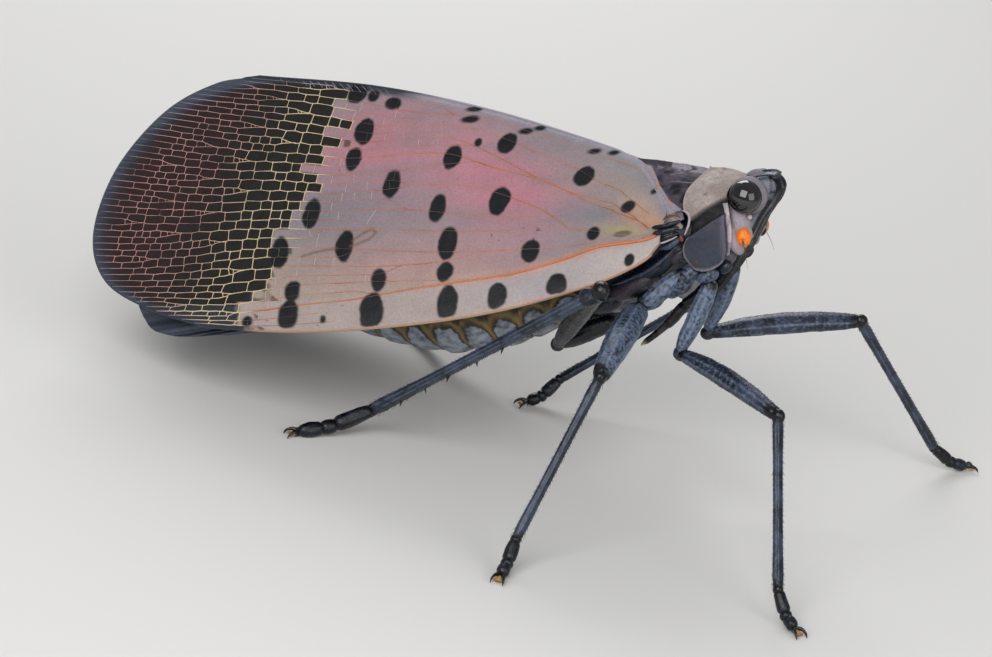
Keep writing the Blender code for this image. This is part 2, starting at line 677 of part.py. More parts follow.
def make_tibia(name, leg, knee, ankle):
    tibia = limb(name, knee, ankle, TIBIA_RADII[leg], STRAIGHT)
    if leg != "hind":
        return tibia
    knee, ankle = Vector(knee), Vector(ankle)
    way = (ankle - knee).normalized()
    below = Vector((0, 0, -1))
    down = (below - way * way.dot(below)).normalized()
    across = way.cross(down)
    spines = []
    for number, share in enumerate(SPINES):
        root = knee.lerp(ankle, share)
        aside = across * (SPINE_ASIDE if number % 2 else -SPINE_ASIDE)
        tip = root + (down + aside + way * SPINE_AHEAD).normalized() * SPINE_LENGTH
        spines.append(cone("spine", root, tip, SPINE_RADIUS))
    crown = ankle - way * CROWN_BACK
    for k in range(CROWN_COUNT):
        turn = 2 * math.pi * k / CROWN_COUNT
        aside = down * math.cos(turn) + across * math.sin(turn)
        tip = crown + aside * CROWN_ASIDE + way * CROWN_AHEAD
        spines.append(cone("spine", crown, tip, SPINE_RADIUS))
    return fuse(tibia, spines)


TARSUS_RADII = [0.12, 0.24, 0.25, 0.2, 0.23, 0.27, 0.2]
TOE_RADIUS = 0.25
FLAT_DEPTH = 0.06
HEEL_SHARE, HEEL_HEIGHT = 0.55, 0.3
PAD_AHEAD, PAD_RADII = 0.18, (0.24, 0.25, 0.21)
CLAW_REACH, CLAW_SPREAD, CLAW_DROP = 0.62, 0.32, 0.1
CLAW_BEND, CLAW_BEND_SPREAD, CLAW_BEND_RISE = 0.28, 0.17, 0.08
CLAW_RADII = [0.14, 0.12, 0.04]


def make_tarsus(name, ankle, claw_tip):
    """Three foot joints, two claws and the pad between them, on a small flat."""
    ankle, claw_tip = Vector(ankle), Vector(claw_tip)
    along = Vector((claw_tip.x - ankle.x, claw_tip.y - ankle.y, 0.0)).normalized()
    side = Vector((0, 0, 1)).cross(along)
    rest = claw_tip - along * CLAW_REACH + Vector((0, 0, TOE_RADIUS - FLAT_DEPTH))
    heel = ankle.lerp(rest, HEEL_SHARE)
    heel.z = HEEL_HEIGHT
    start = ankle + (heel - ankle).normalized() * JOINT_SPACE
    points = [start, start.lerp(heel, 0.35), start.lerp(heel, 0.8), heel, heel.lerp(rest, 0.25),
              heel.lerp(rest, 0.8), rest]
    tarsus = tube(name, points, TARSUS_RADII, resolution=2)
    pieces = [ball("pad", rest + along * PAD_AHEAD, PAD_RADII, segments=8, rings=5)]
    for turn in (-1, 1):
        bend = rest + along * CLAW_BEND + side * turn * CLAW_BEND_SPREAD
        bend.z += CLAW_BEND_RISE
        tip = rest + along * CLAW_REACH + side * turn * CLAW_SPREAD
        tip.z -= CLAW_DROP
        pieces.append(tube("claw", [rest, bend, tip], CLAW_RADII, resolution=1))
    fuse(tarsus, pieces)
    floor = block("floor_trim", (rest.x - 4, rest.y - 4, -3.0), (rest.x + 4, rest.y + 4, 0.0))
    return cut(tarsus, [floor])


LOOKS = {
    "wing": ("grey_pink_wing", (0.45, 0.36, 0.33), 0.6),
    "hindwing": ("dark_wing_tip", (0.05, 0.06, 0.09), 0.6),
    "leg": ("black_leg", (0.03, 0.035, 0.05), 0.45),
    "thorax": ("dark_body", (0.04, 0.045, 0.06), 0.5),
    "shield": ("tan_shield", (0.36, 0.3, 0.26), 0.65),
    "abdomen": ("banded_belly", (0.55, 0.4, 0.08), 0.6),
    "head": ("grey_head", (0.12, 0.12, 0.14), 0.5),
    "eye": ("black_eye", (0.01, 0.01, 0.012), 0.12),
    "antenna": ("orange_antenna", (0.8, 0.25, 0.04), 0.4),
}


def make_leg(leg, word, keep):
    """One leg's four nodes; each segment is cut to leave a gap round the next. Gives the coxa."""
    side = SIDES[word]
    knee, ankle, claw_tip = LEGS[leg, word]
    joint = trochanter_end(leg, side)
    coxa = make_coxa(f"coxa_{leg}_{word}", leg, side)
    femur = limb(f"femur_{leg}_{word}", joint, knee, FEMUR_RADII[leg], FEMUR_BOW)
    cut(coxa, [limb("femur_room", joint, knee, FEMUR_RADII[leg], FEMUR_BOW, grow=GAP)])
    cut(femur, [limb("tibia_room", knee, ankle, TIBIA_RADII[leg], STRAIGHT, grow=GAP)])
    keep(coxa, "leg")
    keep(femur, "leg")
    keep(make_tibia(f"tibia_{leg}_{word}", leg, knee, ankle), "leg")
    keep(make_tarsus(f"tarsus_{leg}_{word}", ankle, claw_tip), "leg")
    return coxa


def make_nodes():
    """Every named body part, as (object, name of its look)."""
    nodes = {}

    def keep(piece, look):
        nodes[piece.name] = (piece, look)
        return piece

    head = keep(make_head(), "head")
    keep(make_pronotum(), "shield")
    keep(make_mesonotum(), "thorax")
    keep(make_rostrum(), "leg")
    for name in ABDOMEN_LENGTHS:
        keep(make_abdomen(name), "abdomen")
    rooms, belly_rooms = [pronotum_room(), grown(head)], []
    for word, side in SIDES.items():
        keep(make_eye(f"eye_{word}", side), "eye")
        keep(make_antenna(f"antenna_{word}", side), "antenna")
        keep(make_tegmen(f"tegmen_{word}", side), "wing")
        rooms.append(grown(keep(make_hindwing(f"hindwing_{word}", side), "hindwing")))
        keep(make_tegula(f"tegula_{word}", side), "shield")
        for leg in COXAE:
            coxa = make_leg(leg, word, keep)
            rooms.append(grown(coxa))
            if leg == "hind":
                belly_rooms.append(grown(coxa))
    keep(cut(make_thorax(), rooms), "thorax")
    cut(nodes["abdomen_front"][0], belly_rooms)
    return nodes


def centre_on_floor(root, pieces):
    """Moves the root so that the middle of the whole insect stands over the origin."""
    places = [piece.matrix_world @ vert.co for piece in pieces for vert in piece.data.vertices]
    middle = [(min(p[k] for p in places) + max(p[k] for p in places)) / 2 for k in (0, 1)]
    root.location = (-middle[0] * MM, -middle[1] * MM, 0.0)


def main():
    for old in list(bpy.data.objects):
        bpy.data.objects.remove(old)
    scene = bpy.context.scene
    scene.collection.children.link(PARTS)
    looks = {word: material(*values) for word, values in LOOKS.items()}
    nodes = make_nodes()
    root = bpy.data.objects.new("root", None)
    body = bpy.data.objects.new("body", None)
    for empty in (root, body):
        PARTS.objects.link(empty)
    body.parent = root
    body.matrix_local = Matrix.Translation(POSE.translation * MM) @ POSE.to_3x3().to_4x4()
    centre_on_floor(root, [piece for piece, _ in nodes.values()])
    for piece, look in nodes.values():
        on_body = piece.matrix_world != STILL
        piece.data.transform(Matrix.Scale(MM, 4))
        piece.parent = body if on_body else root
        piece.matrix_parent_inverse = STILL
        piece.matrix_basis = STILL
        piece.data.materials.clear()
        piece.data.materials.append(looks[look])
        piece.data.shade_smooth()
        piece.data.set_sharp_from_angle(angle=math.radians(40))
        scene.collection.objects.unlink(piece)
        PARTS.objects.link(piece)


main()
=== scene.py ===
"""The look of the spotted lanternfly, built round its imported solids.

Lengths are in millimetres until a mesh is made, which turns them into metres. Places on the body are
in the body's own frame: x forward along the body, y to its left, z up from the middle of the thorax.
Places on the legs are measured from the floor. A wing is drawn on a chart: u runs from its root (0)
to its tip margin (1) and v from the ridge (0) down to its lower margin (1).
"""
import json
import math

import bpy
import numpy as np
from mathutils import Matrix, Vector

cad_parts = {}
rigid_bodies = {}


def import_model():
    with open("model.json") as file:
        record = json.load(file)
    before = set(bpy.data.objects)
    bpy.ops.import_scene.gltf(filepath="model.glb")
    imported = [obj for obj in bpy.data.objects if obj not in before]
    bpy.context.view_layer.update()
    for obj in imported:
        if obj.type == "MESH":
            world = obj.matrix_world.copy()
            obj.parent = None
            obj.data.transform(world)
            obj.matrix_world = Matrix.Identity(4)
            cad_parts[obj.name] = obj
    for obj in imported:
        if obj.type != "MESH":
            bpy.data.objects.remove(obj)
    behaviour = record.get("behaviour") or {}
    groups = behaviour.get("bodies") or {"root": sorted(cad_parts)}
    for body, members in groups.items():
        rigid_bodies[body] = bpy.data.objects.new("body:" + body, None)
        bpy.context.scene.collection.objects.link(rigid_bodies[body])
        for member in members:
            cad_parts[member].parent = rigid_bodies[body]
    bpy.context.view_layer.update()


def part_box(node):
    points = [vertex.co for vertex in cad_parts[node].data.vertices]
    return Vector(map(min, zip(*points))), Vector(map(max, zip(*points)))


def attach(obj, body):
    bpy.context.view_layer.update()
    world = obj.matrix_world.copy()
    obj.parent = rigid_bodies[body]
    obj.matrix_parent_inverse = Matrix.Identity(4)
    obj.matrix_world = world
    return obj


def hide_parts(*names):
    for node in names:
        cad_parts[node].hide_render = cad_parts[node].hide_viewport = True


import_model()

MM = 0.001
SIDES = {"right": -1.0, "left": 1.0}
rng = np.random.default_rng(7)

# How the body is held over the floor, and a solid that is even about a known place of the body.
PITCH = math.radians(20.0)
LEAN = math.radians(5.0)
BODY_AT = (4.53, 0.52, 8.0)
TEGULA_AT = (1.66, 2.3, 0.72)
POSE = Matrix.Translation(BODY_AT) @ Matrix.Rotation(-PITCH, 4, "Y") @ Matrix.Rotation(-LEAN, 4, "X")
TURN = np.array(POSE.to_3x3())
tegula_low, tegula_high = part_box("tegula_right")
tegula_middle = POSE @ Vector((TEGULA_AT[0], -TEGULA_AT[1], TEGULA_AT[2]))
SHIFT = np.array((tegula_low + tegula_high) / 2 / MM - tegula_middle)


def from_body(points):
    """Body places as floor places, still in millimetres."""
    return np.asarray(points, float) @ TURN.T + BODY_AT


# Numbers and curves

def read_line(line, steps, wanted):
    """Places at the wanted shares of a line whose points lie at the given shares."""
    return np.stack([np.interp(wanted, steps, column) for column in np.asarray(line).T], axis=-1)


def smooth(points, count):
    """Points along a Catmull-Rom curve through the given ones, at even steps or at given shares of it."""
    points = np.array(points, float)
    knots = np.vstack([2 * points[0] - points[1], points, 2 * points[-1] - points[-2]])
    fine = []
    for before, start, end, after in zip(knots, knots[1:], knots[2:], knots[3:]):
        for t in np.linspace(0.0, 1.0, 20, endpoint=False):
            square = (2 * before - 5 * start + 4 * end - after) * t ** 2
            cube = (3 * start - before - 3 * end + after) * t ** 3
            fine.append(0.5 * (2 * start + (end - before) * t + square + cube))
    fine = np.array(fine + [points[-1]])
    steps = np.linalg.norm(np.diff(fine, axis=0), axis=1)
    along = np.concatenate([[0.0], np.cumsum(steps)]) / steps.sum()
    return read_line(fine, along, np.linspace(0.0, 1.0, count) if np.isscalar(count) else count)


def profile(points):
    """A smooth function of x through (x, value) points whose x falls."""
    line = smooth(points, 200)
    return lambda x: np.interp(-np.asarray(x, float), -line[:, 0], line[:, 1])


def ease(x, low, high):
    """0 below low, 1 above high, smooth between."""
    t = np.clip((np.asarray(x, float) - low) / (high - low), 0.0, 1.0)
    return t * t * (3 - 2 * t)


def bump(x, middle, half):
    """1 at the middle, falling smoothly to 0 a few halves away."""
    return np.exp(-((np.asarray(x, float) - middle) / half) ** 2)


def unit(vectors):
    """Vectors of the same directions and of length one."""
    return vectors / np.maximum(np.linalg.norm(vectors, axis=-1, keepdims=True), 1e-12)


# Odd factors that scatter the corners of the noise's cells: one for each axis, one for the seed, one to stir.
SCATTER = (374761393, 668265263, 914744867)
SEED_SCATTER = 1274126177
STIR = 1103515245


def noise(points, size, seed):
    """Smooth noise from 0 to 1 at points in millimetres, with lumps of the given size."""
    places = np.asarray(points, float) / size + 1000.0
    cell = np.floor(places).astype(np.int64)
    share = places - cell
    share = share * share * (3 - 2 * share)
    total = np.zeros(places.shape[:-1])
    for corner in np.ndindex(2, 2, 2):
        spot = (cell + np.array(corner)) * SCATTER
        mixed = spot[..., 0] + spot[..., 1] + spot[..., 2] + seed * SEED_SCATTER
        mixed = ((mixed & 0xffffffff) ^ ((mixed & 0xffffffff) >> 13)) * STIR & 0xffffffff
        value = ((mixed ^ (mixed >> 16)) & 0xffff) / 65535.0
        weight = np.ones(total.shape)
        for axis in range(3):
            weight = weight * (share[..., axis] if corner[axis] else 1 - share[..., axis])
        total += value * weight
    return total


def patches(points, size, seed):
    """Noise of two sizes, for mottling."""
    return 0.65 * noise(points, size, seed) + 0.35 * noise(points, size * 0.37, seed + 11)


def tint(code):
    """A colour written as six hex digits, in linear light."""
    parts = np.array([int(code[k:k + 2], 16) for k in (0, 2, 4)]) / 255.0
    return np.where(parts <= 0.04045, parts / 12.92, ((parts + 0.055) / 1.055) ** 2.4)


def palette(**codes):
    """Named colours in linear light."""
    return {name: tint(code) for name, code in codes.items()}


def mix(first, second, share):
    """A colour or place that goes over into another by a share from 0 to 1."""
    share = np.asarray(share, float)[..., None]
    return first * (1 - share) + second * share


def layered(shade, tints, layers):
    """A colour under layers of others, each given by its name and its share."""
    for name, share in layers:
        shade = mix(shade, tints[name], share)
    return shade


def polyline_distance(places, line):
    """How far each place lies from a line of points."""
    best = np.full(places.shape[:-1], 1e9)
    for start, end in zip(np.asarray(line, float)[:-1], np.asarray(line, float)[1:]):
        way = end - start
        t = np.clip(((places - start) @ way) / (way @ way), 0.0, 1.0)
        best = np.minimum(best, np.linalg.norm(places - start - t[..., None] * way, axis=-1))
    return best


# Meshes

def grid_faces(rows, columns, around=False):
    """Faces with four corners over a grid of points, which may close up round its columns."""
    r = columns * np.arange(rows - 1)[:, None]
    c = np.arange(columns if around else columns - 1)[None, :]
    n = (c + 1) % columns
    return np.stack([r + c, r + n, r + columns + n, r + columns + c], -1).reshape(-1, 4)


def spread(values, shape):
    """Values for every point of a grid, from one value or one for each row or column."""
    return np.broadcast_to(np.asarray(values, float), shape)


def sweep(path, wide, high, up, around=16, factor=1.0):
    """Rings round a path; wide is the half size aside and high the half size along up."""
    path = np.asarray(path, float)
    along = unit(np.gradient(path, axis=0))
    aside = unit(np.cross(along, np.asarray(up, float)))
    top = np.cross(aside, along)
    turn = 2 * math.pi * np.arange(around)[None, :, None] / around
    wide, high = (spread(size, len(path))[:, None, None] for size in (wide, high))
    factor = spread(factor, (len(path), around))[..., None]
    round_path = aside[:, None] * np.cos(turn) * wide + top[:, None] * np.sin(turn) * high
    return path[:, None] + round_path * factor


class Skin:
    """One mesh grown from many closed forms, with a colour and a share of wax at every point."""

    def __init__(self, name, looks):
        """An empty skin; its looks are the materials that its forms choose from by number."""
        self.name = name
        self.looks = looks
        self.points, self.tints, self.waxes = [], [], []
        self.faces, self.face_looks = [], []
        self.size = 0

    def add(self, points, faces, tints, wax, look):
        """Takes in a closed form, turned so that its faces look outwards."""
        volume = 0.0
        for block in faces:
            for k in range(1, block.shape[1] - 1):
                a, b, c = (points[block[:, j]] for j in (0, k, k + 1))
                volume += np.einsum("ij,ij->", a, np.cross(b, c))
        for block in faces:
            self.faces.append((block if volume >= 0 else block[:, ::-1]) + self.size)
            self.face_looks.append(np.full(len(block), look))
        self.points.append(points)
        self.tints.append(tints)
        self.waxes.append(wax)
        self.size += len(points)

    def tube(self, rings, tints, wax=0.0, look=0):
        """A closed form over rings of points, with a fan at each end."""
        rows, columns = rings.shape[:2]

        def with_ends(values):
            return np.concatenate([values.reshape(rows * columns, -1), values[:1].mean(1).reshape(1, -1),
                                   values[-1:].mean(1).reshape(1, -1)])

        shades, waxes = spread(tints, rings.shape), spread(wax, rings.shape[:2])
        k = np.arange(columns)
        n = (k + 1) % columns
        first, last = rows * columns, rows * columns + 1
        low = np.stack([n, k, np.full(columns, first)], -1)
        high = np.stack([(rows - 1) * columns + k, (rows - 1) * columns + n, np.full(columns, last)], -1)
        faces = [grid_faces(rows, columns, around=True), low, high]
        self.add(with_ends(rings), faces, with_ends(shades), with_ends(waxes)[:, 0], look)

    def plate(self, outer, inner, tints, wax=0.0, look=0, step=4):
        """A closed sheet: a fine outer face and an inner face that keeps every few of its lines."""
        rows, columns = outer.shape[:2]
        under = inner[::step, ::step]
        low_rows, low_columns = under.shape[:2]
        shades, waxes = spread(tints, outer.shape), spread(wax, outer.shape[:2])
        base = rows * columns
        tops = np.arange(base).reshape(rows, columns)
        lows = base + np.arange(low_rows * low_columns).reshape(low_rows, low_columns)
        rim = []
        for high, low in ((tops[:, 0], lows[:, 0]), (tops[-1], lows[-1]), (tops[::-1, -1], lows[::-1, -1]),
                          (tops[0, ::-1], lows[0, ::-1])):
            for k, (near, far) in enumerate(zip(low, low[1:])):
                rim.append([*high[k * step:(k + 1) * step + 1], far, near])
        points = np.concatenate([outer.reshape(-1, 3), under.reshape(-1, 3)])
        shades = np.concatenate([shades.reshape(-1, 3), shades[::step, ::step].reshape(-1, 3)])
        waxes = np.concatenate([waxes.ravel(), waxes[::step, ::step].ravel()])
        faces = [grid_faces(rows, columns)[:, ::-1], grid_faces(low_rows, low_columns) + base, np.array(rim)]
        self.add(points, faces, shades, waxes, look)

    def make(self, slot, *nodes):
        """The finished object, in the CAD's frame, riding on the one body."""
        points = (np.concatenate(self.points) + SHIFT) * MM
        loops = np.concatenate([block.ravel() for block in self.faces])
        totals = np.concatenate([np.full(len(block), block.shape[1]) for block in self.faces])
        mesh = bpy.data.meshes.new(self.name)
        mesh.vertices.add(len(points))
        mesh.vertices.foreach_set("co", points.ravel())
        mesh.loops.add(len(loops))
        mesh.loops.foreach_set("vertex_index", loops.astype(np.int32))
        mesh.polygons.add(len(totals))
        mesh.polygons.foreach_set("loop_start", (np.cumsum(totals) - totals).astype(np.int32))
        mesh.polygons.foreach_set("material_index", np.concatenate(self.face_looks).astype(np.int32))
        mesh.update(calc_edges=True)
        shades = np.ones((len(points), 4))
        shades[:, :3] = np.concatenate(self.tints)
        mesh.attributes.new("tint", "FLOAT_COLOR", "POINT").data.foreach_set("color", shades.ravel())
        mesh.attributes.new("wax", "FLOAT", "POINT").data.foreach_set("value", np.concatenate(self.waxes))
        mesh.shade_smooth()
        for look in self.looks:
            mesh.materials.append(look)
        piece = bpy.data.objects.new(self.name, mesh)
        bpy.context.scene.collection.objects.link(piece)
        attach(piece, "root")
        if nodes:
            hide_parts(*nodes)


# Finishes

# Where the patches of wax begin and are full, on the sum of a noise and the mesh's own share of wax.
WAX_RANGE = (0.72, 1.15)
WAX_DULLS = 0.32


def coated_look(name, shine, grain, depth, wax=None, wax_size=0.12, speckle=0.12, gloss=0.5):
    """A finish with the mesh's own colours, fine grain, and wax in patches where the mesh says."""
    made = bpy.data.materials.new(name)
    made.use_nodes = True
    nodes, links = made.node_tree.nodes, made.node_tree.links

    def feed(node, inputs):
        """Gives each named input its value, or a link from another node's output."""
        for socket, value in inputs.items():
            if isinstance(value, bpy.types.NodeSocket):
                links.new(value, node.inputs[socket])
            else:
                node.inputs[socket].default_value = value

    def node(kind, output, inputs, **settings):
        """An output of a new node with these inputs and settings."""
        new = nodes.new(f"ShaderNode{kind}")
        for setting, value in settings.items():
            setattr(new, setting, value)
        feed(new, inputs)
        return new.outputs[output]

    place = node("TexCoord", "Object", {})

    def texture(size, detail):
        return node("TexNoise", "Fac", {"Scale": 1.0 / (size * MM), "Detail": detail, "Vector": place})

    def ranged(source, low, high, start=0.35, end=0.65):
        return node("MapRange", "Result", {"From Min": start, "From Max": end, "To Min": low,
                                           "To Max": high, "Value": source})

    fine = texture(grain, 4.0)
    colour = node("Attribute", "Color", {}, attribute_name="tint")
    level = ranged(fine, 1.0 - speckle, 1.0 + speckle)
    result = node("Mix", "Result", {"Factor": 1.0, "A": colour, "B": level}, data_type="RGBA",
                  blend_type="MULTIPLY")
    rough = ranged(texture(grain * 3, 2.0), *shine)
    if wax is not None:
        share = node("Attribute", "Fac", {}, attribute_name="wax")
        total = node("Math", "Value", {0: texture(wax_size, 5.0), 1: share}, operation="ADD")
        cover = ranged(total, 0.0, 1.0, *WAX_RANGE)
        result = node("Mix", "Result", {"Factor": cover, "A": result, "B": (*wax, 1.0)}, data_type="RGBA")
        rough = node("Math", "Value", {0: cover, 1: WAX_DULLS, 2: rough}, operation="MULTIPLY_ADD")
    raised = node("Bump", "Normal", {"Strength": depth, "Distance": grain * MM * 0.5, "Height": fine})
    feed(nodes["Principled BSDF"], {"Specular IOR Level": gloss, "Base Color": result, "Roughness": rough,
                                    "Normal": raised})
    return made


WAX = tint("7786a0")
wing_look = coated_look("leathery_wing", (0.36, 0.52), 0.07, 0.35, speckle=0.08, gloss=0.3)
vein_look = coated_look("wing_vein", (0.3, 0.42), 0.05, 0.2, speckle=0.08)
hindwing_look = coated_look("folded_hindwing", (0.4, 0.6), 0.06, 0.4, speckle=0.15)
cuticle_look = coated_look("waxy_cuticle", (0.2, 0.36), 0.05, 0.5, wax=WAX, gloss=0.38)
shield_look = coated_look("matt_shield", (0.42, 0.6), 0.06, 0.5, wax=tint("9a9290"), speckle=0.14,
                          gloss=0.25)
glossy_look = coated_look("glossy_black", (0.14, 0.3), 0.06, 0.35, gloss=0.4)
belly_look = coated_look("banded_belly", (0.35, 0.5), 0.08, 0.4, wax=tint("9aa3b0"), wax_size=0.3)
eye_look = coated_look("black_eye", (0.03, 0.06), 0.04, 0.03, gloss=0.9)
antenna_look = coated_look("orange_antenna", (0.35, 0.5), 0.035, 0.6, speckle=0.1)
claw_look = coated_look("claw", (0.15, 0.3), 0.05, 0.2)


# The wing's chart

# The folded wings as a roof, over x: heights of the ridge and of the lower edge, half width at that
# edge, and a power that rounds the roof between them.
RIDGE = [(3.0, 1.7), (0.0, 2.7), (-4.7, 4.46), (-8.8, 5.65), (-13.1, 6.4), (-16.5, 6.65), (-21.0, 6.7)]
COSTAL = [(3.0, 0.6), (-0.9, -0.66), (-5.3, -1.19), (-10.4, -1.22), (-14.2, -0.92), (-21.0, -0.45)]
ROOF = [(3.0, 2.2), (-0.9, 4.0), (-5.3, 5.2), (-10.4, 5.6), (-14.2, 5.25), (-21.0, 4.2)]
ROOF_ROUND = 1.2
RIDGE_SIDE = 0.03
# Each wing's upper edge, lower edge and tip margin in the side view, as (x, z).
TEGMEN_INNER = [(1.25, 1.1), (0.8, 1.72), (0.3, 2.3), (-0.45, 2.85), (-4.7, 4.56), (-8.8, 5.75),
                (-13.1, 6.48)]
TEGMEN_COSTAL = [(1.2, 0.3), (0.7, -0.15), (-0.86, -0.66), (-3.7, -1.1), (-7.0, -1.27), (-10.4, -1.22),
                 (-13.9, -0.92)]
TEGMEN_TIP = [(-13.1, 6.48), (-14.8, 6.36), (-16.5, 5.62), (-18.0, 4.02), (-18.58, 2.1), (-17.95, 0.66),
              (-16.2, -0.25), (-13.9, -0.92)]
HINDWING_INNER = [(-0.7, 0.95), (-4.5, 2.5), (-9.0, 3.7), (-13.5, 4.2)]
HINDWING_COSTAL = [(-0.7, 0.25), (-4.5, -0.4), (-9.5, -0.5), (-13.6, -0.75)]
HINDWING_TIP = [(-13.5, 4.2), (-16.0, 3.4), (-17.2, 1.6), (-16.9, -0.1), (-15.8, -0.72), (-13.6, -0.75)]
# How far the hind wing lies in and down from the roof.
HINDWING_IN, HINDWING_DOWN = 0.7, 0.6
# The step over which the roof's slope is read.
SLOPE_STEP = 0.02

ridge_height = profile(RIDGE)
costal_height = profile(COSTAL)
roof_half = profile(ROOF)


def roof_side(x, z):
    """How far out the folded wing's surface lies at a place of the side view."""
    across = np.maximum((ridge_height(x) - z) / (ridge_height(x) - costal_height(x)), 0.0)
    rest = 1.0 - across
    arch = 1.0 - np.sign(rest) * np.abs(rest) ** ROOF_ROUND
    return RIDGE_SIDE + (roof_half(x) - RIDGE_SIDE) * arch


class Chart:
    """The side view of a wing, between its two long edges and its tip margin."""

    def __init__(self, inner, costal, tip):
        """Keeps the three edges as fine lines."""
        self.steps = np.linspace(0.0, 1.0, 400)
        self.inner, self.costal, self.tip = (smooth(edge, self.steps) for edge in (inner, costal, tip))

    def places(self, u, v):
        """The side view's x and z at places of the chart."""
        u, v = np.broadcast_arrays(np.asarray(u, float), np.asarray(v, float))
        high, low = (read_line(edge, self.steps, u) for edge in (self.inner, self.costal))
        bulge = read_line(self.tip, self.steps, v) - mix(self.inner[-1], self.costal[-1], v)
        return mix(high, low, v) + bulge * u[..., None]

    def surface(self, u, v):
        """Points on the folded wing and the way out from it, in the body's frame."""
        flat = self.places(u, v)
        x, z = flat[..., 0], flat[..., 1]
        y = roof_side(x, z)
        slope_x = (roof_side(x + SLOPE_STEP, z) - y) / SLOPE_STEP
        slope_z = (roof_side(x, z + SLOPE_STEP) - y) / SLOPE_STEP
        out = unit(np.stack([-slope_x, np.ones_like(x), -slope_z], axis=-1))
        return np.stack([x, y, z], axis=-1), out


tegmen = Chart(TEGMEN_INNER, TEGMEN_COSTAL, TEGMEN_TIP)

# Veins. Trunks run from the root as measured, as (u, v), up to one u, and by another u they have
# settled one above another at even heights of the netted end.
TRUNK_MEASURED, TRUNK_SETTLED = 0.43, 0.62
TRUNKS = {
    "anal_inner": [(0.07, 0.03), (0.15, 0.07), (0.26, 0.065), (0.5, 0.055)],
    "anal_outer": [(0.04, 0.3), (0.09, 0.27), (0.16, 0.24), (0.22, 0.19), (0.31, 0.155), (0.39, 0.13),
                   (0.5, 0.115)],
    "claval": [(0.03, 0.49), (0.08, 0.38), (0.19, 0.33), (0.28, 0.27), (0.36, 0.22), (0.45, 0.185),
               (0.5, 0.18)],
    "cubital": [(0.03, 0.5), (0.05, 0.43), (0.14, 0.385), (0.21, 0.32), (0.26, 0.285), (0.34, 0.27),
                (0.38, 0.26), (0.43, 0.25), (0.5, 0.25)],
    "cubital_fork": [(0.385, 0.26), (0.45, 0.3), (0.5, 0.32)],
    "medial_upper": [(0.17, 0.53), (0.22, 0.44), (0.28, 0.39), (0.35, 0.36), (0.41, 0.365), (0.5, 0.39)],
    "medial_middle": [(0.205, 0.465), (0.27, 0.47), (0.36, 0.465), (0.5, 0.46)],
    "medial_lower": [(0.02, 0.6), (0.1, 0.57), (0.17, 0.53), (0.24, 0.53), (0.35, 0.53), (0.5, 0.53)],
    "radial": [(0.05, 0.65), (0.11, 0.615), (0.17, 0.635), (0.25, 0.62), (0.35, 0.61), (0.5, 0.595)],
    "radial_fork": [(0.3, 0.615), (0.37, 0.645), (0.5, 0.655)],
    "costal_fork": [(0.34, 0.755), (0.41, 0.73), (0.5, 0.715)],
    "costal": [(0.01, 0.66), (0.11, 0.665), (0.18, 0.72), (0.26, 0.755), (0.36, 0.76), (0.5, 0.775)],
}
STRONG_TRUNKS = {"costal": 0.095, "cubital": 0.07, "claval": 0.06, "medial_upper": 0.06, "radial": 0.05}
TRUNK_WIDTH = 0.042
# Two thin veins in the strip below the costal one, by their share of it, and where they leave and settle.
STRIP_SHARES = (0.34, 0.67)
STRIP_START, STRIP_OPEN = 0.66, 0.8
# Where the dark netted end begins and where the slate border begins, as (v, u).
NET_START = [(0.0, 0.775), (0.08, 0.735), (0.14, 0.7), (0.2, 0.67), (0.28, 0.645), (0.37, 0.635),
             (0.45, 0.625), (0.52, 0.62), (0.58, 0.635), (0.64, 0.66), (0.7, 0.69), (0.76, 0.735),
             (0.84, 0.8), (0.92, 0.86), (1.0, 0.9)]
BORDER_START = [(0.0, 0.9), (0.06, 0.925), (0.15, 0.95), (0.3, 0.972), (0.5, 0.98), (0.75, 0.978),
                (0.9, 0.965), (1.0, 0.955)]
# The u at which a vein's place in the net is judged.
NET_MIDDLE = 0.7
# Veins fork once before the net and mostly once more inside it, each at a u between two.
FIRST_FORKS, SECOND_FORKS = (0.4, 0.56), (0.71, 0.92)
FORK_LENGTH = 0.06
SECOND_CHANCE = 0.84
GOLDEN_TURN = 0.618
# How far past its fork a pair of veins is fully apart, and over which reach the rows make room for it.
WEDGE, ROOM = 0.045, 0.13
# Cross veins: a cell's length by its height at the net's start and end, the step before the net in u, the
# chance of one there and of a dark tail before a row, and how far one bends the veins that it joins.
CELL_SHAPES = (1.7, 2.5)
PALE_CELL = 0.026
PALE_CHANCE, TAIL_CHANCE = 0.6, 0.28
CELL_PULL = 0.06
LEAST_ROW = 0.12
# Where the first cross veins may stand, and their gap after a row's beginning and before the border, in u.
FIRST_CROSS = 0.36
FIRST_GAP, LAST_GAP = 0.02, 0.008
VEIN_WIDTH = 0.034
# How unevenly the rows of the net begin, and how much closer they lie near the ridge.
RAGGED = 0.05
ROW_WARP = 1.2
# The wing's length in millimetres, and a u that lies beyond its end.
SPAN = 19.0
FAR = 9.0


def net_start(v):
    """The u at which the dark netted end begins."""
    return np.interp(v, *zip(*NET_START))


def border_start(v):
    """The u at which the slate border begins."""
    return np.interp(v, *zip(*BORDER_START))


EVEN_V = np.linspace(0.0, 1.0, 200)
EVEN_HEIGHT = tegmen.places(TRUNK_SETTLED, EVEN_V)[:, 1]
EVEN_SHARE = (EVEN_HEIGHT[0] - EVEN_HEIGHT) / (EVEN_HEIGHT[0] - EVEN_HEIGHT[-1])


def even_level(share):
    """The v of a row at a share of all rows; they lie a little closer near the ridge."""
    return np.interp(np.asarray(share) ** ROW_WARP, EVEN_SHARE, EVEN_V)


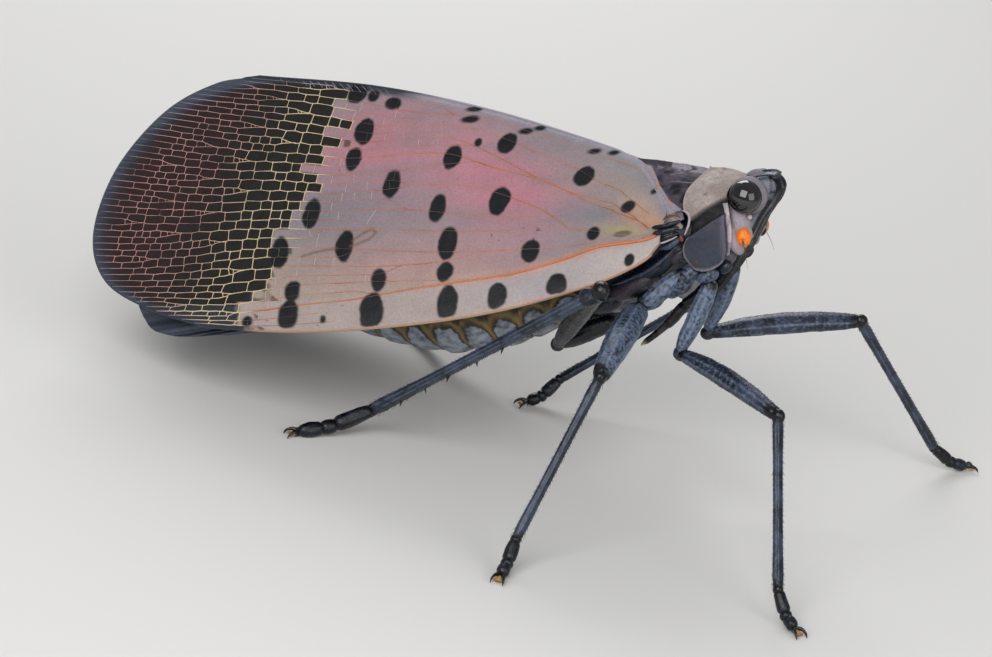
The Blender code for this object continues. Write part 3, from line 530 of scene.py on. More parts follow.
class Vein:
    """One long vein: its course on the chart, and the cross veins that pull it aside."""

    def __init__(self, start, course, width, parent=None):
        """A vein without a parent begins on its own; a branch leaves its parent at the start."""
        self.start = start
        self.course = course
        self.width = width
        self.parent = parent
        self.pulls = []

    def pull(self, place, move):
        """Bends the vein, or before its own start the one that it leaves."""
        if self.parent is not None and place < self.start:
            self.parent.pull(place, move)
        else:
            self.pulls.append((place, move))

    def level(self, u):
        """The vein's v at a u, with the small bends at its cross veins."""
        base = self.course(u)
        if not self.pulls:
            return base
        places, moves = zip(*sorted(self.pulls))
        return base + np.interp(u, places, moves, left=0.0, right=0.0)


def trunk_course(points, level):
    """A trunk's course through its measured points and on at the level where it settles."""
    line = smooth(points, 60)

    def course(u):
        settled = ease(u, TRUNK_MEASURED, TRUNK_SETTLED)
        return np.interp(u, line[:, 0], line[:, 1]) * (1 - settled) + level * settled

    return course


def fork_course(parent, low, high, start):
    """A branch that leaves its parent at start and settles half way between its neighbours."""
    return lambda u: parent(u) + ((low(u) + high(u)) / 2 - parent(u)) * ease(u, start, start + FORK_LENGTH)


def strip_course(costal, share):
    """A thin vein that leaves the costal one and runs down to its share of the lower strip."""
    return lambda u: costal(u) + (1 - costal(u)) * share * ease(u, STRIP_START, STRIP_OPEN)


def net_course(base, number, forks, branch):
    """A vein's course on into the net, where veins part one by one and the rows make room for them."""
    def course(u):
        u = np.asarray(u, float)
        room = ease(u[..., None], forks - ROOM, forks + ROOM)
        middle = number + 1 + room[..., :number].sum(-1) + room[..., number] / 2
        apart = ease(u, forks[number], forks[number] + WEDGE) / 2
        share = (middle + (apart if branch else -apart)) / (len(forks) + 1 + room.sum(-1))
        settled = ease(u, TRUNK_SETTLED - 0.04, TRUNK_SETTLED + 0.04)
        return base(u) * (1 - settled) + even_level(share) * settled

    return course


def facing(low, high, place):
    """Where on the vein above a cross vein ends that leaves the lower one squarely."""
    root = tegmen.surface(place, low.course(place))[0]
    tries = place + np.linspace(-0.04, 0.04, 41)
    ends = tegmen.surface(tries, high.course(tries))[0]
    return float(tries[np.argmin(np.linalg.norm(ends - root, axis=-1))])


def row_height(low, high, place):
    """The height in millimetres between two veins."""
    ends = tegmen.places(place, np.array([float(low.course(place)), float(high.course(place))]))
    return float(np.linalg.norm(ends[1] - ends[0]))


def base_veins():
    """The long veins at the net's beginning, from the ridge down to the lower margin."""
    rows = 2 * len(TRUNKS) + len(STRIP_SHARES) + 1
    trunks = []
    for number, (name, points) in enumerate(TRUNKS.items()):
        level = float(even_level(2 * (number + 1) / rows))
        trunks.append(Vein(points[0][0], trunk_course(points, level), STRONG_TRUNKS.get(name, TRUNK_WIDTH)))
    ridge = Vein(0.0, lambda u: 0.0 * np.asarray(u, float), 0.0)
    margin = Vein(0.0, lambda u: 0.0 * np.asarray(u, float) + 1.0, 0.0)
    ordered = []
    for number, (low, high) in enumerate(zip([ridge] + trunks, trunks)):
        parent = high if number == 0 or rng.random() < 0.5 else low
        start = rng.uniform(*FIRST_FORKS)
        ordered.append(Vein(start, fork_course(parent.course, low.course, high.course, start), VEIN_WIDTH))
        ordered.append(high)
    for share in STRIP_SHARES:
        ordered.append(Vein(STRIP_START, strip_course(trunks[-1].course, share), VEIN_WIDTH))
    return ridge, ordered, margin


def grow_veins():
    """All long veins, the cross veins between them, and where the dark cells of each row begin."""
    ridge, base, margin = base_veins()
    turns = (np.arange(len(base)) * GOLDEN_TURN + 0.3) % 1.0
    forks = SECOND_FORKS[0] + (SECOND_FORKS[1] - SECOND_FORKS[0]) * turns
    whole = rng.random(len(base)) > SECOND_CHANCE
    whole[-len(STRIP_SHARES):] = True
    for number, vein in enumerate(base):
        net = float(net_start(vein.course(NET_MIDDLE)))
        forks[number] = FAR if whole[number] else max(forks[number], net + 0.02)
    veins, tops, lows = [], [ridge], []
    for number, vein in enumerate(base):
        branch = Vein(forks[number], net_course(vein.course, number, forks, True), VEIN_WIDTH, vein)
        vein.course = net_course(vein.course, number, forks, False)
        veins.append(vein)
        lows.append(vein)
        tops.append(vein if whole[number] else branch)
    gaps = list(zip(tops, lows + [margin]))
    for number, vein in enumerate(base):
        if not whole[number]:
            veins.append(tops[number + 1])
            gaps.append((vein, tops[number + 1]))
    crossings, fronts = [], []
    for low, high in gaps:
        inside = high.parent is low
        begun = low.start if low.parent is None else 0.0
        start = high.start if inside else max(begun, high.start, FIRST_CROSS)
        add_cells(low, high, start, inside, crossings, fronts)
    return veins, crossings, sorted(fronts)


def add_cells(low, high, start, inside, crossings, fronts):
    """Cross veins between two long veins, close in the netted end and rare before it."""
    middle = float(low.course(NET_MIDDLE) + high.course(NET_MIDDLE)) / 2
    net = start if inside else float(net_start(middle)) + RAGGED * rng.uniform(-0.5, 0.5)
    border = float(border_start(middle)) - LAST_GAP
    place = start + FIRST_GAP if inside else max(start + FIRST_GAP, TRUNK_MEASURED)
    before, first = None, None
    while place < border:
        netted = place > net
        if netted or rng.random() < PALE_CHANCE * ease(place, net - 0.2, net - 0.02):
            far = facing(low, high, place)
            crossings.append((low, high, place, far, netted))
            if netted:
                gap = float(high.course(place) - low.course(place))
                low.pull(place, CELL_PULL * gap)
                high.pull(far, -CELL_PULL * gap)
                first = first or (place, far)
        if not netted:
            before = place
        shape = CELL_SHAPES[0] + (CELL_SHAPES[1] - CELL_SHAPES[0]) * float(ease(place - net, 0.05, 0.18))
        height = max(row_height(low, high, place), LEAST_ROW)
        length = PALE_CELL if place < net - 0.01 else shape * height / SPAN
        place += length * rng.uniform(0.6, 1.4) * (1 + 1.6 * ease(place, border - 0.07, border))
    if not inside:
        near, far = first or (net, net)
        fade = rng.random() < TAIL_CHANCE and before is not None
        fronts.append((float(low.course(net)), float(high.course(net)), near, far, before if fade else near))


veins, crossings, fronts = grow_veins()

# Spots on each fore wing: middle (x, z) and half sizes (along, across) in the side view.
SPOTS = [
    (-9.09, 4.49, 0.34, 0.37), (-9.3, 3.7, 0.26, 0.34), (-7.84, 2.87, 0.29, 0.4),
    (-10.45, 2.23, 0.31, 0.45), (-9.14, 1.18, 0.31, 0.45), (-11.41, 1.19, 0.33, 0.5),
    (-7.83, 0.13, 0.25, 0.33), (-10.79, 0.01, 0.3, 0.31), (-7.98, -0.73, 0.41, 0.5),
    (-10.87, -0.66, 0.36, 0.42), (-9.63, -0.89, 0.1, 0.12), (-12.36, -0.8, 0.19, 0.15),
    (-9.56, 5.64, 0.34, 0.3), (-8.99, 5.5, 0.2, 0.17), (-8.27, 5.22, 0.27, 0.18), (-5.21, 3.77, 0.12, 0.12),
    (-4.27, 3.63, 0.32, 0.27), (-5.98, 3.43, 0.3, 0.34), (-1.63, 2.4, 0.32, 0.28), (-0.04, 1.4, 0.22, 0.15),
    (0.68, 1.72, 0.1, 0.07), (-6.16, 2.03, 0.27, 0.4), (-4.16, 2.03, 0.33, 0.4), (-0.97, 0.78, 0.21, 0.19),
    (-5.66, 1.0, 0.33, 0.47), (-2.91, 0.51, 0.28, 0.33), (-5.6, 0.17, 0.29, 0.29), (0.32, -0.06, 0.16, 0.18),
    (-5.43, -0.67, 0.33, 0.48), (-3.81, -0.64, 0.32, 0.39), (-1.91, -0.51, 0.33, 0.31),
    (-5.61, 4.47, 0.3, 0.11), (-3.75, 3.91, 0.22, 0.08), (-1.47, 3.06, 0.2, 0.08),
    (-5.53, 4.75, 0.27, 0.08), (-3.3, 3.94, 0.2, 0.08), (-0.85, 2.94, 0.18, 0.07),
]
# The tilt of the low spots and of the high ones, and the level that parts them.
SPOT_TILTS = (math.radians(2.0), math.radians(-4.0))
HIGH_SPOTS = 2.0
# Spots whose middle lies below this level are squarer at their lower side.
SQUARE_SPOTS = -0.5
SPOT_EDGE = 0.035
# A faint streak, given as a spot is, the number of fine streaks round the border, and brown loops.
FAINT_STREAK = (-0.04, 0.68, 0.3, 0.09)
BORDER_STREAKS = 85
LOOP_MARKS = [[(-10.6, 1.0), (-10.2, 1.08), (-9.7, 1.14), (-9.4, 1.16)],
              [(-8.9, 1.32), (-8.55, 1.52), (-8.25, 1.62), (-8.12, 1.5), (-8.3, 1.33), (-8.7, 1.22),
               (-8.95, 1.18)]]


def raised(flat):
    """Side-view places as places in space, for the noises."""
    return np.concatenate([flat, 0 * flat[..., :1]], axis=-1)


def spot_cover(flat):
    """How far inside a dark spot each side-view place is, from 0 to 1."""
    places = raised(flat)
    wobble = 0.2 * (noise(places, 0.3, 3) - 0.5) + 0.08 * (noise(places, 0.09, 4) - 0.5)
    cover = np.zeros(flat.shape[:-1])
    for x, z, along, across in SPOTS:
        tilt = SPOT_TILTS[z > HIGH_SPOTS]
        c, s = math.cos(tilt), math.sin(tilt)
        dx, dz = flat[..., 0] - x, flat[..., 1] - z
        ahead, above = (dx * c + dz * s) / along, (dz * c - dx * s) / across
        power = np.where((z < SQUARE_SPOTS) & (above < 0), 3.2, 2.0)
        reach = (np.abs(ahead) ** power + np.abs(above) ** power) ** (1 / power) + wobble
        edge = SPOT_EDGE / min(along, across)
        cover = np.maximum(cover, 1 - ease(reach, 1.0 - edge, 1.0 + edge))
    return cover


WING = palette(
    grey="837f83", tan="9f8d82", pink="ad7580", blush="b98e72", yellow="a99762", cream="b3a8a5",
    beige="a3999a", lilac="928c98", slate="70707a", spot="0e0f14", cell="1a1816", red_cell="2f191c",
    border="292c37", border_pale="585f70", rim="a5846c", loop="6b4a2c", dark_top="262a35", strip="2c2f38",
    glow="c08571", speck="1b1c23")
VEIN_TINTS = palette(
    orange="a86c4b", strong="b96a38", cream="cdbb98", pink="b68a84", mauve="8f8f9d", pale="b3adab",
    spot="1b1c23", lilac="8d8794")


# How sharply the dark cells begin and their dark tails end, in u.
CELL_EDGE, TAIL_EDGE = 0.0015, 0.001


def dark_share(u, v):
    """1 in the dark cells, 0 before them; each row of cells begins at its own cross vein."""
    lows, highs, nears, fars, fades = (np.array(column) for column in zip(*fronts))
    row = np.clip(np.searchsorted(lows, v, side="right") - 1, 0, len(lows) - 1)
    share = np.clip((v - lows[row]) / (highs[row] - lows[row]), 0.0, 1.0)
    start = nears[row] * (1 - share) + fars[row] * share
    blots = noise(raised(tegmen.places(u, v)), 0.2, 15)
    fade = 0.7 * ease(u, fades[row] - TAIL_EDGE, fades[row] + TAIL_EDGE) * ease(blots, 0.42, 0.66)
    return np.maximum(ease(u, start - CELL_EDGE, start + CELL_EDGE), fade)


def pale_wing_tints(u, v, places, costal_level):
    """The colour of the membrane before the net: warm grey and pink with a cream strip along the edge."""
    middle = np.interp(u, [0.1, 0.25, 0.45, 0.62], [0.42, 0.37, 0.26, 0.24])
    rosy = bump(v, middle, 0.2) * ease(u, 0.1, 0.26) * (1 - 0.7 * ease(u, 0.6, 0.76))
    streaky = patches(places * (0.12, 1.0, 1.0), 0.3, 12)
    rosy = rosy * (0.85 + 0.4 * (patches(places, 2.2, 5) - 0.5) + 0.6 * (streaky - 0.5))
    shade = layered(WING["grey"], WING, [
        ("tan", 0.9 * ease(v, 0.45, 0.7) * ease(u, 0.15, 0.4)),
        ("pink", np.clip(rosy, 0, 1)),
        ("pink", 0.35 * bump(v, 0.64, 0.1) * ease(u, 0.1, 0.3) * (1 - ease(u, 0.45, 0.65))),
        ("slate", 0.6 * bump(v, 0.43, 0.06) * bump(u, 0.14, 0.06)),
        ("slate", 0.45 * bump(v, 0.48, 0.12) * bump(u, 0.56, 0.1)),
        ("blush", 0.85 * bump(v, 0.36, 0.16) * (1 - ease(u, 0.04, 0.14))),
        ("yellow", 0.65 * bump(v, 0.54, 0.05) * bump(u, 0.08, 0.05))])
    strip = ease(v - costal_level, 0.0, 0.015) * (0.9 - 0.5 * ease(u, 0.25, 0.5))
    shade = mix(shade, mix(WING["cream"], WING["beige"], ease(u, 0.06, 0.24)), strip)
    shade = layered(shade, WING, [
        ("tan", 0.5 * bump(v, 0.24, 0.12) * (1 - ease(u, 0.12, 0.3))),
        ("glow", 0.6 * bump(v, costal_level, 0.035) * (1 - ease(u, 0.2, 0.5))),
        ("glow", 0.3 * ease(v, 0.955, 0.985) * (1 - ease(u, 0.3, 0.5))),
        ("lilac", 0.75 * (1 - ease(v, 0.015, 0.05)))])
    shade = shade * (0.88 + 0.12 * patches(places, 0.5, 8) + 0.1 * streaky)[..., None]
    dots = noise(places, 0.09, 21) * noise(places, 0.9, 22)
    return mix(shade, WING["speck"], 0.8 * ease(dots, 0.8, 0.86))


def net_tints(u, v, places, costal_level):
    """The colour of the dark end: black cells, some of them reddish, and a streaked slate border."""
    past_net, past_border = u - net_start(v), u - border_start(v)
    reddish = 0.75 * ease(past_net, 0.12, 0.26) * bump(v, 0.45, 0.38)
    streaks = 0.5 + 0.5 * np.sin(v * 2 * math.pi * BORDER_STREAKS + 4 * noise(places, 0.5, 10))
    outer = mix(WING["border"], WING["border_pale"], (0.15 + 0.5 * streaks) * ease(past_border, -0.01, 0.03))
    shade = mix(mix(WING["cell"], WING["red_cell"], reddish), outer, ease(past_border, -0.03, 0.02))
    return mix(shade, WING["strip"], 0.9 * ease(v - costal_level, 0.01, 0.04))


def fore_wing_tints(u, v, flat):
    """The membrane's colour: warm grey and pink before, black cells behind, and the markings."""
    places = raised(flat)
    costal_level = np.interp(u, *zip(*TRUNKS["costal"]))
    dark = dark_share(u, v)
    shade = mix(pale_wing_tints(u, v, places, costal_level), net_tints(u, v, places, costal_level), dark)
    x, z, along, across = FAINT_STREAK
    streak = 1 - ease(np.hypot((flat[..., 0] - x) / along, (flat[..., 1] - z) / across), 0.7, 1.2)
    loops = [("loop", 0.7 - 0.7 * ease(polyline_distance(flat, line), 0.01, 0.06)) for line in LOOP_MARKS]
    return layered(shade, WING, [
        ("dark_top", 0.95 * (1 - ease(v, 0.02, 0.07)) * ease(u, 0.6, 0.68)),
        ("spot", spot_cover(flat)), ("spot", 0.6 * streak), *loops,
        ("rim", 0.8 * ease(v, 0.985, 0.995) * (1 - dark))])


def vein_tints(u, v, flat, kind):
    """A vein's colour: orange before, cream at the start of the net, then pink, then grey."""
    net = net_start(v)
    shade = VEIN_TINTS[kind]
    if kind == "mauve":
        return np.broadcast_to(shade, (*np.shape(u), 3))
    if kind != "pale":
        shade = mix(shade, VEIN_TINTS["cream"], ease(u - net, -0.035, 0.0))
    past = ease(u - net, 0.07, 0.2) * (1 - 0.55 * ease(v, 0.6, 0.95))
    return layered(shade, VEIN_TINTS, [
        ("lilac", 0.8 * (1 - ease(v, 0.03, 0.07))), ("pink", past * ease(u, net, net + 0.01)),
        ("mauve", 0.85 * ease(u - border_start(v), -0.02, 0.03)), ("spot", 0.9 * spot_cover(flat))])


# A vein's cord stands this share of its width over the wing, and its two lower edges lie this deep in it.
CORD_RISE, CORD_DEPTH = 0.42, 0.012


def vein_cord(skin, u, v, width, kind, side):
    """A raised cord on the wing with three sides, peaked in the middle."""
    points, out = tegmen.surface(u, v)
    across = unit(np.cross(unit(np.gradient(points, axis=0)), out))
    width = spread(width, len(u))[:, None]
    feet = [points + across * turn * width / 2 - out * CORD_DEPTH for turn in (1, -1)]
    rings = np.stack([points + out * CORD_RISE * width, *feet], axis=1) * (1.0, side, 1.0)
    skin.tube(from_body(rings), vein_tints(u, v, tegmen.places(u, v), kind)[:, None], look=1)


# The faces along and across a fore wing, its thickness and the height of its ripples.
WING_STEPS = (520, 208)
WING_SHEET = 0.1
RIPPLE = 0.03
# The wings stay this far from the middle of the body.
MIDDLE_GAP = 0.01
# Long veins: the step along one and where it ends, in u; the widths over which one is painted as the
# strong one or tapers before the net; and the least width at the start of the net.
VEIN_STEP = 0.0045
VEIN_END = 0.997
STRONG_WIDTH, TAPERED_WIDTH = 0.09, 0.045
NET_WIDTH = 0.047
# Cross veins in the net and before it: width, how much a netted one narrows, and points along one.
CROSS_WIDTHS = {"cream": 0.041, "pale": 0.028}
CROSS_NARROWS = 0.011
CROSS_STEPS = 7
RIM_RADIUS = 0.045
# Pale oblique lines along the dark top border: first and last place and the step, then their reach.
TOP_LINES = (0.66, 0.9, 0.017)
TOP_SLANT, TOP_INNER = 0.05, 0.05
TOP_WIDTH = 0.026


def add_long_veins(skin, side):
    """The trunks and their branches, widest at the root and again at the start of the net."""
    for vein in veins:
        line = np.linspace(vein.start, VEIN_END, max(8, round((1.0 - vein.start) / VEIN_STEP)))
        level = vein.level(line)
        past = line - net_start(level)
        width = vein.width * (1 - 0.35 * ease(line, 0.3, 0.55) * (vein.width > TAPERED_WIDTH))
        netted = NET_WIDTH * ease(past, -0.02, 0.0) * (1 - 0.38 * ease(past, 0.05, 0.22))
        width = np.maximum(width, netted) * (1 - 0.45 * ease(line - border_start(level), -0.01, 0.04))
        kind = "strong" if vein.width > STRONG_WIDTH else "orange"
        if kind == "strong":
            width = width * (1 + 0.6 * (1 - ease(line, 0.06, 0.2)))
        vein_cord(skin, line, level, width, kind, side)


def add_cross_veins(skin, side):
    """The short veins between them, flared at both ends in the net, and the lines along the top."""
    share = np.linspace(0.0, 1.0, CROSS_STEPS)
    flare = 1 + 0.9 * np.abs(2 * share - 1) ** 3
    for low, high, place, far, netted in crossings:
        if low.width == 0.0 or high.width == 0.0:
            continue
        level = float(low.level(place)) * (1 - share) + float(high.level(far)) * share
        kind = "cream" if netted else "pale"
        width = CROSS_WIDTHS[kind]
        if netted:
            width = flare * (width - CROSS_NARROWS * float(ease(place - net_start(level.mean()), 0.05, 0.2)))
        vein_cord(skin, place + (far - place) * share, level, width, kind, side)
    for place in np.arange(*TOP_LINES):
        vein_cord(skin, place + TOP_SLANT * share, TOP_INNER * (1 - share) + 0.004, TOP_WIDTH, "mauve", side)


def add_wing_rim(skin, side):
    """The thickened edge that runs round the wing."""
    below, behind, above = (np.linspace(*steps) for steps in ((0.02, 1, 300), (1, 0, 240), (1, 0.02, 300)))
    u = np.concatenate([below, np.ones(239), above[1:]])
    v = np.concatenate([np.ones(300), behind[1:], np.zeros(299)])
    points, out = tegmen.surface(u, v)
    rings = sweep(points - out * WING_SHEET * 0.5, RIM_RADIUS, RIM_RADIUS, (0.0, 1.0, 0.0), 6)
    rings[..., 1] = np.maximum(rings[..., 1], MIDDLE_GAP / 2)
    shade = mix(WING["rim"], WING["border"], ease(u - net_start(v), -0.02, 0.02))
    top = mix(WING["lilac"], WING["dark_top"], ease(u, 0.55, 0.68))
    shade = mix(shade, top, (v < 0.5) * (u < 0.999))
    skin.tube(from_body(rings * (1.0, side, 1.0)), shade[:, None], look=1)


def wing_chart(rows, columns):
    """The u and v of a grid over a whole wing."""
    return np.meshgrid(np.linspace(0.0, 1.0, rows), np.linspace(0.0, 1.0, columns), indexing="ij")


def make_fore_wing(word, side):
    """A thin coloured sheet with its long veins, cross veins and rim."""
    skin = Skin(f"tegmen_skin_{word}", [wing_look, vein_look])
    u, v = wing_chart(WING_STEPS[0] + 1, WING_STEPS[1] + 1)
    points, out = tegmen.surface(u, v)
    outer = points + out * (RIPPLE * (patches(points, 0.7, 41) - 0.5))[..., None]
    inner = points - out * WING_SHEET
    inner[..., 1] = np.maximum(inner[..., 1], MIDDLE_GAP)
    flip = (1.0, side, 1.0)
    skin.plate(from_body(outer * flip), from_body(inner * flip), fore_wing_tints(u, v, tegmen.places(u, v)))
    add_long_veins(skin, side)
    add_cross_veins(skin, side)
    add_wing_rim(skin, side)
    skin.make("wing", f"tegmen_{word}")


# The folded hind wing

# Pleats: their number and depth, fine lines on each, and the depth and thickness of the sheet.
PLEATS = 9
PLEAT_DEPTH = 0.12
PLEAT_LINES = 3
HIND_DEPTH, HIND_SHEET = 0.03, 0.09
HIND_TINTS = palette(red="a8231c", spot="121217", pale="cfc8bf", tip="262d39", tip_pale="566076")


def make_hind_wing(word, side):
    """Red and spotted before, a pale band, and a slate tip, folded in pleats under the fore wing."""
    chart = Chart(HINDWING_INNER, HINDWING_COSTAL, HINDWING_TIP)
    u, v = wing_chart(241, 121)
    points, out = chart.surface(u, v)
    points = points - np.array((0.0, HINDWING_IN, HINDWING_DOWN))
    fold = np.abs((v * PLEATS) % 1.0 * 2 - 1)
    outer = points - out * (PLEAT_DEPTH * fold * ease(u, 0.02, 0.3) + HIND_DEPTH)[..., None]
    inner = outer - out * HIND_SHEET
    shade = mix(HIND_TINTS["red"], HIND_TINTS["spot"], patches(points, 1.1, 51) > 0.62)
    shade = mix(shade, HIND_TINTS["pale"], bump(u, 0.62, 0.06))
    striae = 0.5 + 0.5 * np.sin(v * PLEATS * 2 * math.pi * PLEAT_LINES + 3 * noise(points, 1.2, 52))
    tip = mix(HIND_TINTS["tip"], HIND_TINTS["tip_pale"], 0.4 * striae * (0.5 + noise(points, 0.4, 53)))
    shade = mix(shade, tip, ease(u, 0.64, 0.7))
    flip = (1.0, side, 1.0)
    skin = Skin(f"hindwing_skin_{word}", [hindwing_look])
    skin.plate(from_body(outer * flip), from_body(inner * flip), shade, step=2)
    skin.make("hindwing", f"hindwing_{word}")


for word, side in SIDES.items():
    make_fore_wing(word, side)
    make_hind_wing(word, side)


# The body. Everything fleshy is one skin, so that no seam shows.

BODY = palette(
    black="0a0b0f", blue_black="191e29", slate="353e50", edge="6e7b94", brown="36313b", violet="423a47",
    tan="8d817c", tan_pale="9f938e", pit="6b4a40", rim="a79aa0", lobe="34353c", lilac="6c6975",
    cheek="b3a5aa", vertex="48505f", membrane="7d6630", dark_band="121318", rust="6b3a28", tip="c9b9a2",
    pad="b08a4c", grey_face="565863", root_tan="a87f5f", root_lilac="8f8994")
# The looks of the body's skin, in the order of its materials.
CUTICLE, GLOSSY, SHIELD, BELLY = range(4)
LUMP_STEPS = 28


def cuticle_tints(points, seed=0):
    """Blue-black with slate mottling."""
    return mix(BODY["blue_black"], BODY["slate"], ease(patches(points, 0.45, 60 + seed), 0.35, 0.75))


def blend(first, second, share):
    """A colour between two named ones of the body."""
    return mix(BODY[first], BODY[second], share)


def uneven(points, middle, amount, size, seed):
    """Points moved out from a middle or in towards it, by up to half an amount of their distance."""
    return middle + (points - middle) * (1 + amount * (patches(points, size, seed) - 0.5))[..., None]


def ball(rows, around, gap=0.03):
    """Directions in a round grid, whose rows run from the first axis, past a small gap, to its far end."""
    fall = np.linspace(gap, math.pi - gap, rows)[:, None]
    turn = np.linspace(0, 2 * math.pi, around, endpoint=False)[None, :]
    sides = np.sin(fall) * np.cos(turn), np.sin(fall) * np.sin(turn)
    return np.stack(np.broadcast_arrays(np.cos(fall), *sides), -1)


def lump(skin, centre, radii, forward=(1, 0, 0), up=(0, 0, 1), rough=0.06, size=0.3, shade=None, wax=0.0,
         look=CUTICLE, on_body=True):
    """A rounded form with an uneven surface, turned so that its first radius runs forward."""
    ahead = unit(np.array(forward, float))
    aside = unit(np.cross(up, ahead))
    axes = np.stack([ahead, aside, np.cross(ahead, aside)])
    points = np.array(centre) + ball(LUMP_STEPS, LUMP_STEPS) * radii @ axes
    points = uneven(points, np.array(centre), 2 * rough, size, 70)
    tints = cuticle_tints(points) if shade is None else shade
    skin.tube(from_body(points) if on_body else points, tints, wax, look)


def section_rings(table, xs, around, top_power=1.5):
    """Cross sections at each x from rows of (x, half width, widest level, top, bottom), and their turns."""
    line = smooth(table, 200)
    half, middle, top, bottom = (np.interp(-xs, -line[:, 0], line[:, k])[:, None] for k in range(1, 5))
    turn = 2 * math.pi * np.arange(around)[None, :] / around
    c, s = np.cos(turn), np.sin(turn)
    power = np.where(s > 0, 2 / top_power, 1.0)
    y = half * np.sign(c) * np.abs(c) ** power
    z = middle + np.where(s > 0, top - middle, middle - bottom) * np.sign(s) * np.abs(s) ** power
    return np.stack([np.broadcast_to(xs[:, None], y.shape), y, z], -1), turn


# Sections of the thorax and the abdomen as (x, half width, widest level, top, bottom).
THORAX = [(2.75, 0.75, 0.3, 1.0, -0.25), (2.2, 1.15, 0.3, 1.25, -0.5), (1.4, 1.5, 0.2, 1.3, -0.95),
          (0.6, 1.8, 0.0, 1.35, -1.55), (-0.4, 1.9, -0.3, 1.4, -2.15), (-1.3, 1.9, -0.5, 1.35, -2.35),
          (-2.4, 1.9, -0.6, 1.25, -2.2)]
ABDOMEN = [(-2.0, 1.85, -0.7, 1.1, -2.1), (-2.4, 1.95, -0.7, 1.05, -2.2), (-3.6, 2.25, -0.8, 0.97, -2.75),
           (-5.2, 2.45, -0.9, 1.1, -3.2), (-7.2, 2.45, -0.95, 1.25, -3.3), (-9.0, 2.15, -0.9, 1.2, -2.95),
           (-10.6, 1.55, -0.85, 0.8, -2.35), (-11.9, 0.5, -0.8, -0.2, -1.5)]
# The length of one overlapping plate of the abdomen.
RING_LENGTH = 1.05


def add_thorax(skin):
    """The core of the thorax, which shows between its side plates."""
    rings = section_rings(THORAX, np.linspace(2.7, -2.4, 110), 96)[0]
    rings = uneven(rings, rings.mean(1, keepdims=True), 0.07, 0.7, 81)
    skin.tube(from_body(rings), cuticle_tints(rings, 1), 0.1)


def add_abdomen(skin):
    """Overlapping plates: black with grey wax, and yellow skin between them."""
    xs = np.linspace(-2.0, -11.85, 300)
    rings, turn = section_rings(ABDOMEN, xs, 112, 1.6)
    share = (-(xs + 2.2) / RING_LENGTH) % 1.0
    step = 0.98 + 0.045 * (ease(share, 0.0, 0.7) - ease(share, 0.86, 0.97))
    middle = rings.mean(1, keepdims=True)
    rings = uneven(middle + (rings - middle) * step[:, None, None], middle, 0.03, 0.5, 82)
    level = np.sin(turn)
    rings[..., 1] *= 1 - 0.05 * bump(-level, 0.3, 0.12) * (level < 0)
    place = share[:, None] + 0.14 * (noise(rings, 0.6, 83) - 0.5)
    crescent = ((place - 0.5) / 0.4) ** 2 + ((level + 0.8) / 0.34) ** 2
    crescent = crescent + 0.9 * (patches(rings, 0.3, 84) - 0.5)
    line = bump(crescent, 1.6, 0.32) * ease(-level, 0.28, 0.42)
    fold = (1 - ease(np.minimum(place, 1 - place), 0.03, 0.09)) * ease(-level, 0.4, 0.55)
    # The belly is left mostly dark and its yellow dulled to olive: partly its own black bands, partly painted
    # shade of the shadow under the wings.
    shade = blend("dark_band", "membrane", np.clip(line + 0.8 * fold, 0, 1))
    shade = shade * (0.75 + 0.45 * noise(rings, 0.3, 85))[..., None]
    skin.tube(from_body(rings), shade, 0.5 * (1 - ease(crescent, 0.7, 1.1)), BELLY)


# The collar's hind and fore edges from the middle line round to its foot, how far its foot sags, the
# groove over its side, as (x, z), and small pits beside its keel.
PRONOTUM_HIND = [(2.33, 0.0, 2.14), (2.08, 0.6, 1.95), (1.8, 1.2, 1.6), (1.82, 1.7, 1.2), (2.1, 2.02, 0.8),
                 (2.02, 2.17, 0.4), (1.8, 2.16, 0.05), (1.78, 2.1, -0.3), (1.98, 1.95, -0.72)]
PRONOTUM_FORE = [(3.55, 0.0, 1.82), (3.45, 0.4, 1.8), (3.26, 0.85, 1.7), (3.15, 1.22, 1.44), (3.1, 1.46, 1.0),
                 (3.06, 1.53, 0.55), (3.04, 1.54, 0.1), (3.0, 1.52, -0.3), (2.88, 1.5, -0.62)]
FOOT_SAG = 0.2
PLATE_THICK = 0.3
GROOVE = [(1.85, 0.52), (2.2, 0.72), (2.6, 0.95), (3.0, 1.12), (3.3, 1.22)]
PRONOTUM_PITS = [(2.45, 1.25, 1.55), (2.62, 0.95, 1.66), (2.3, 0.85, 1.75)]


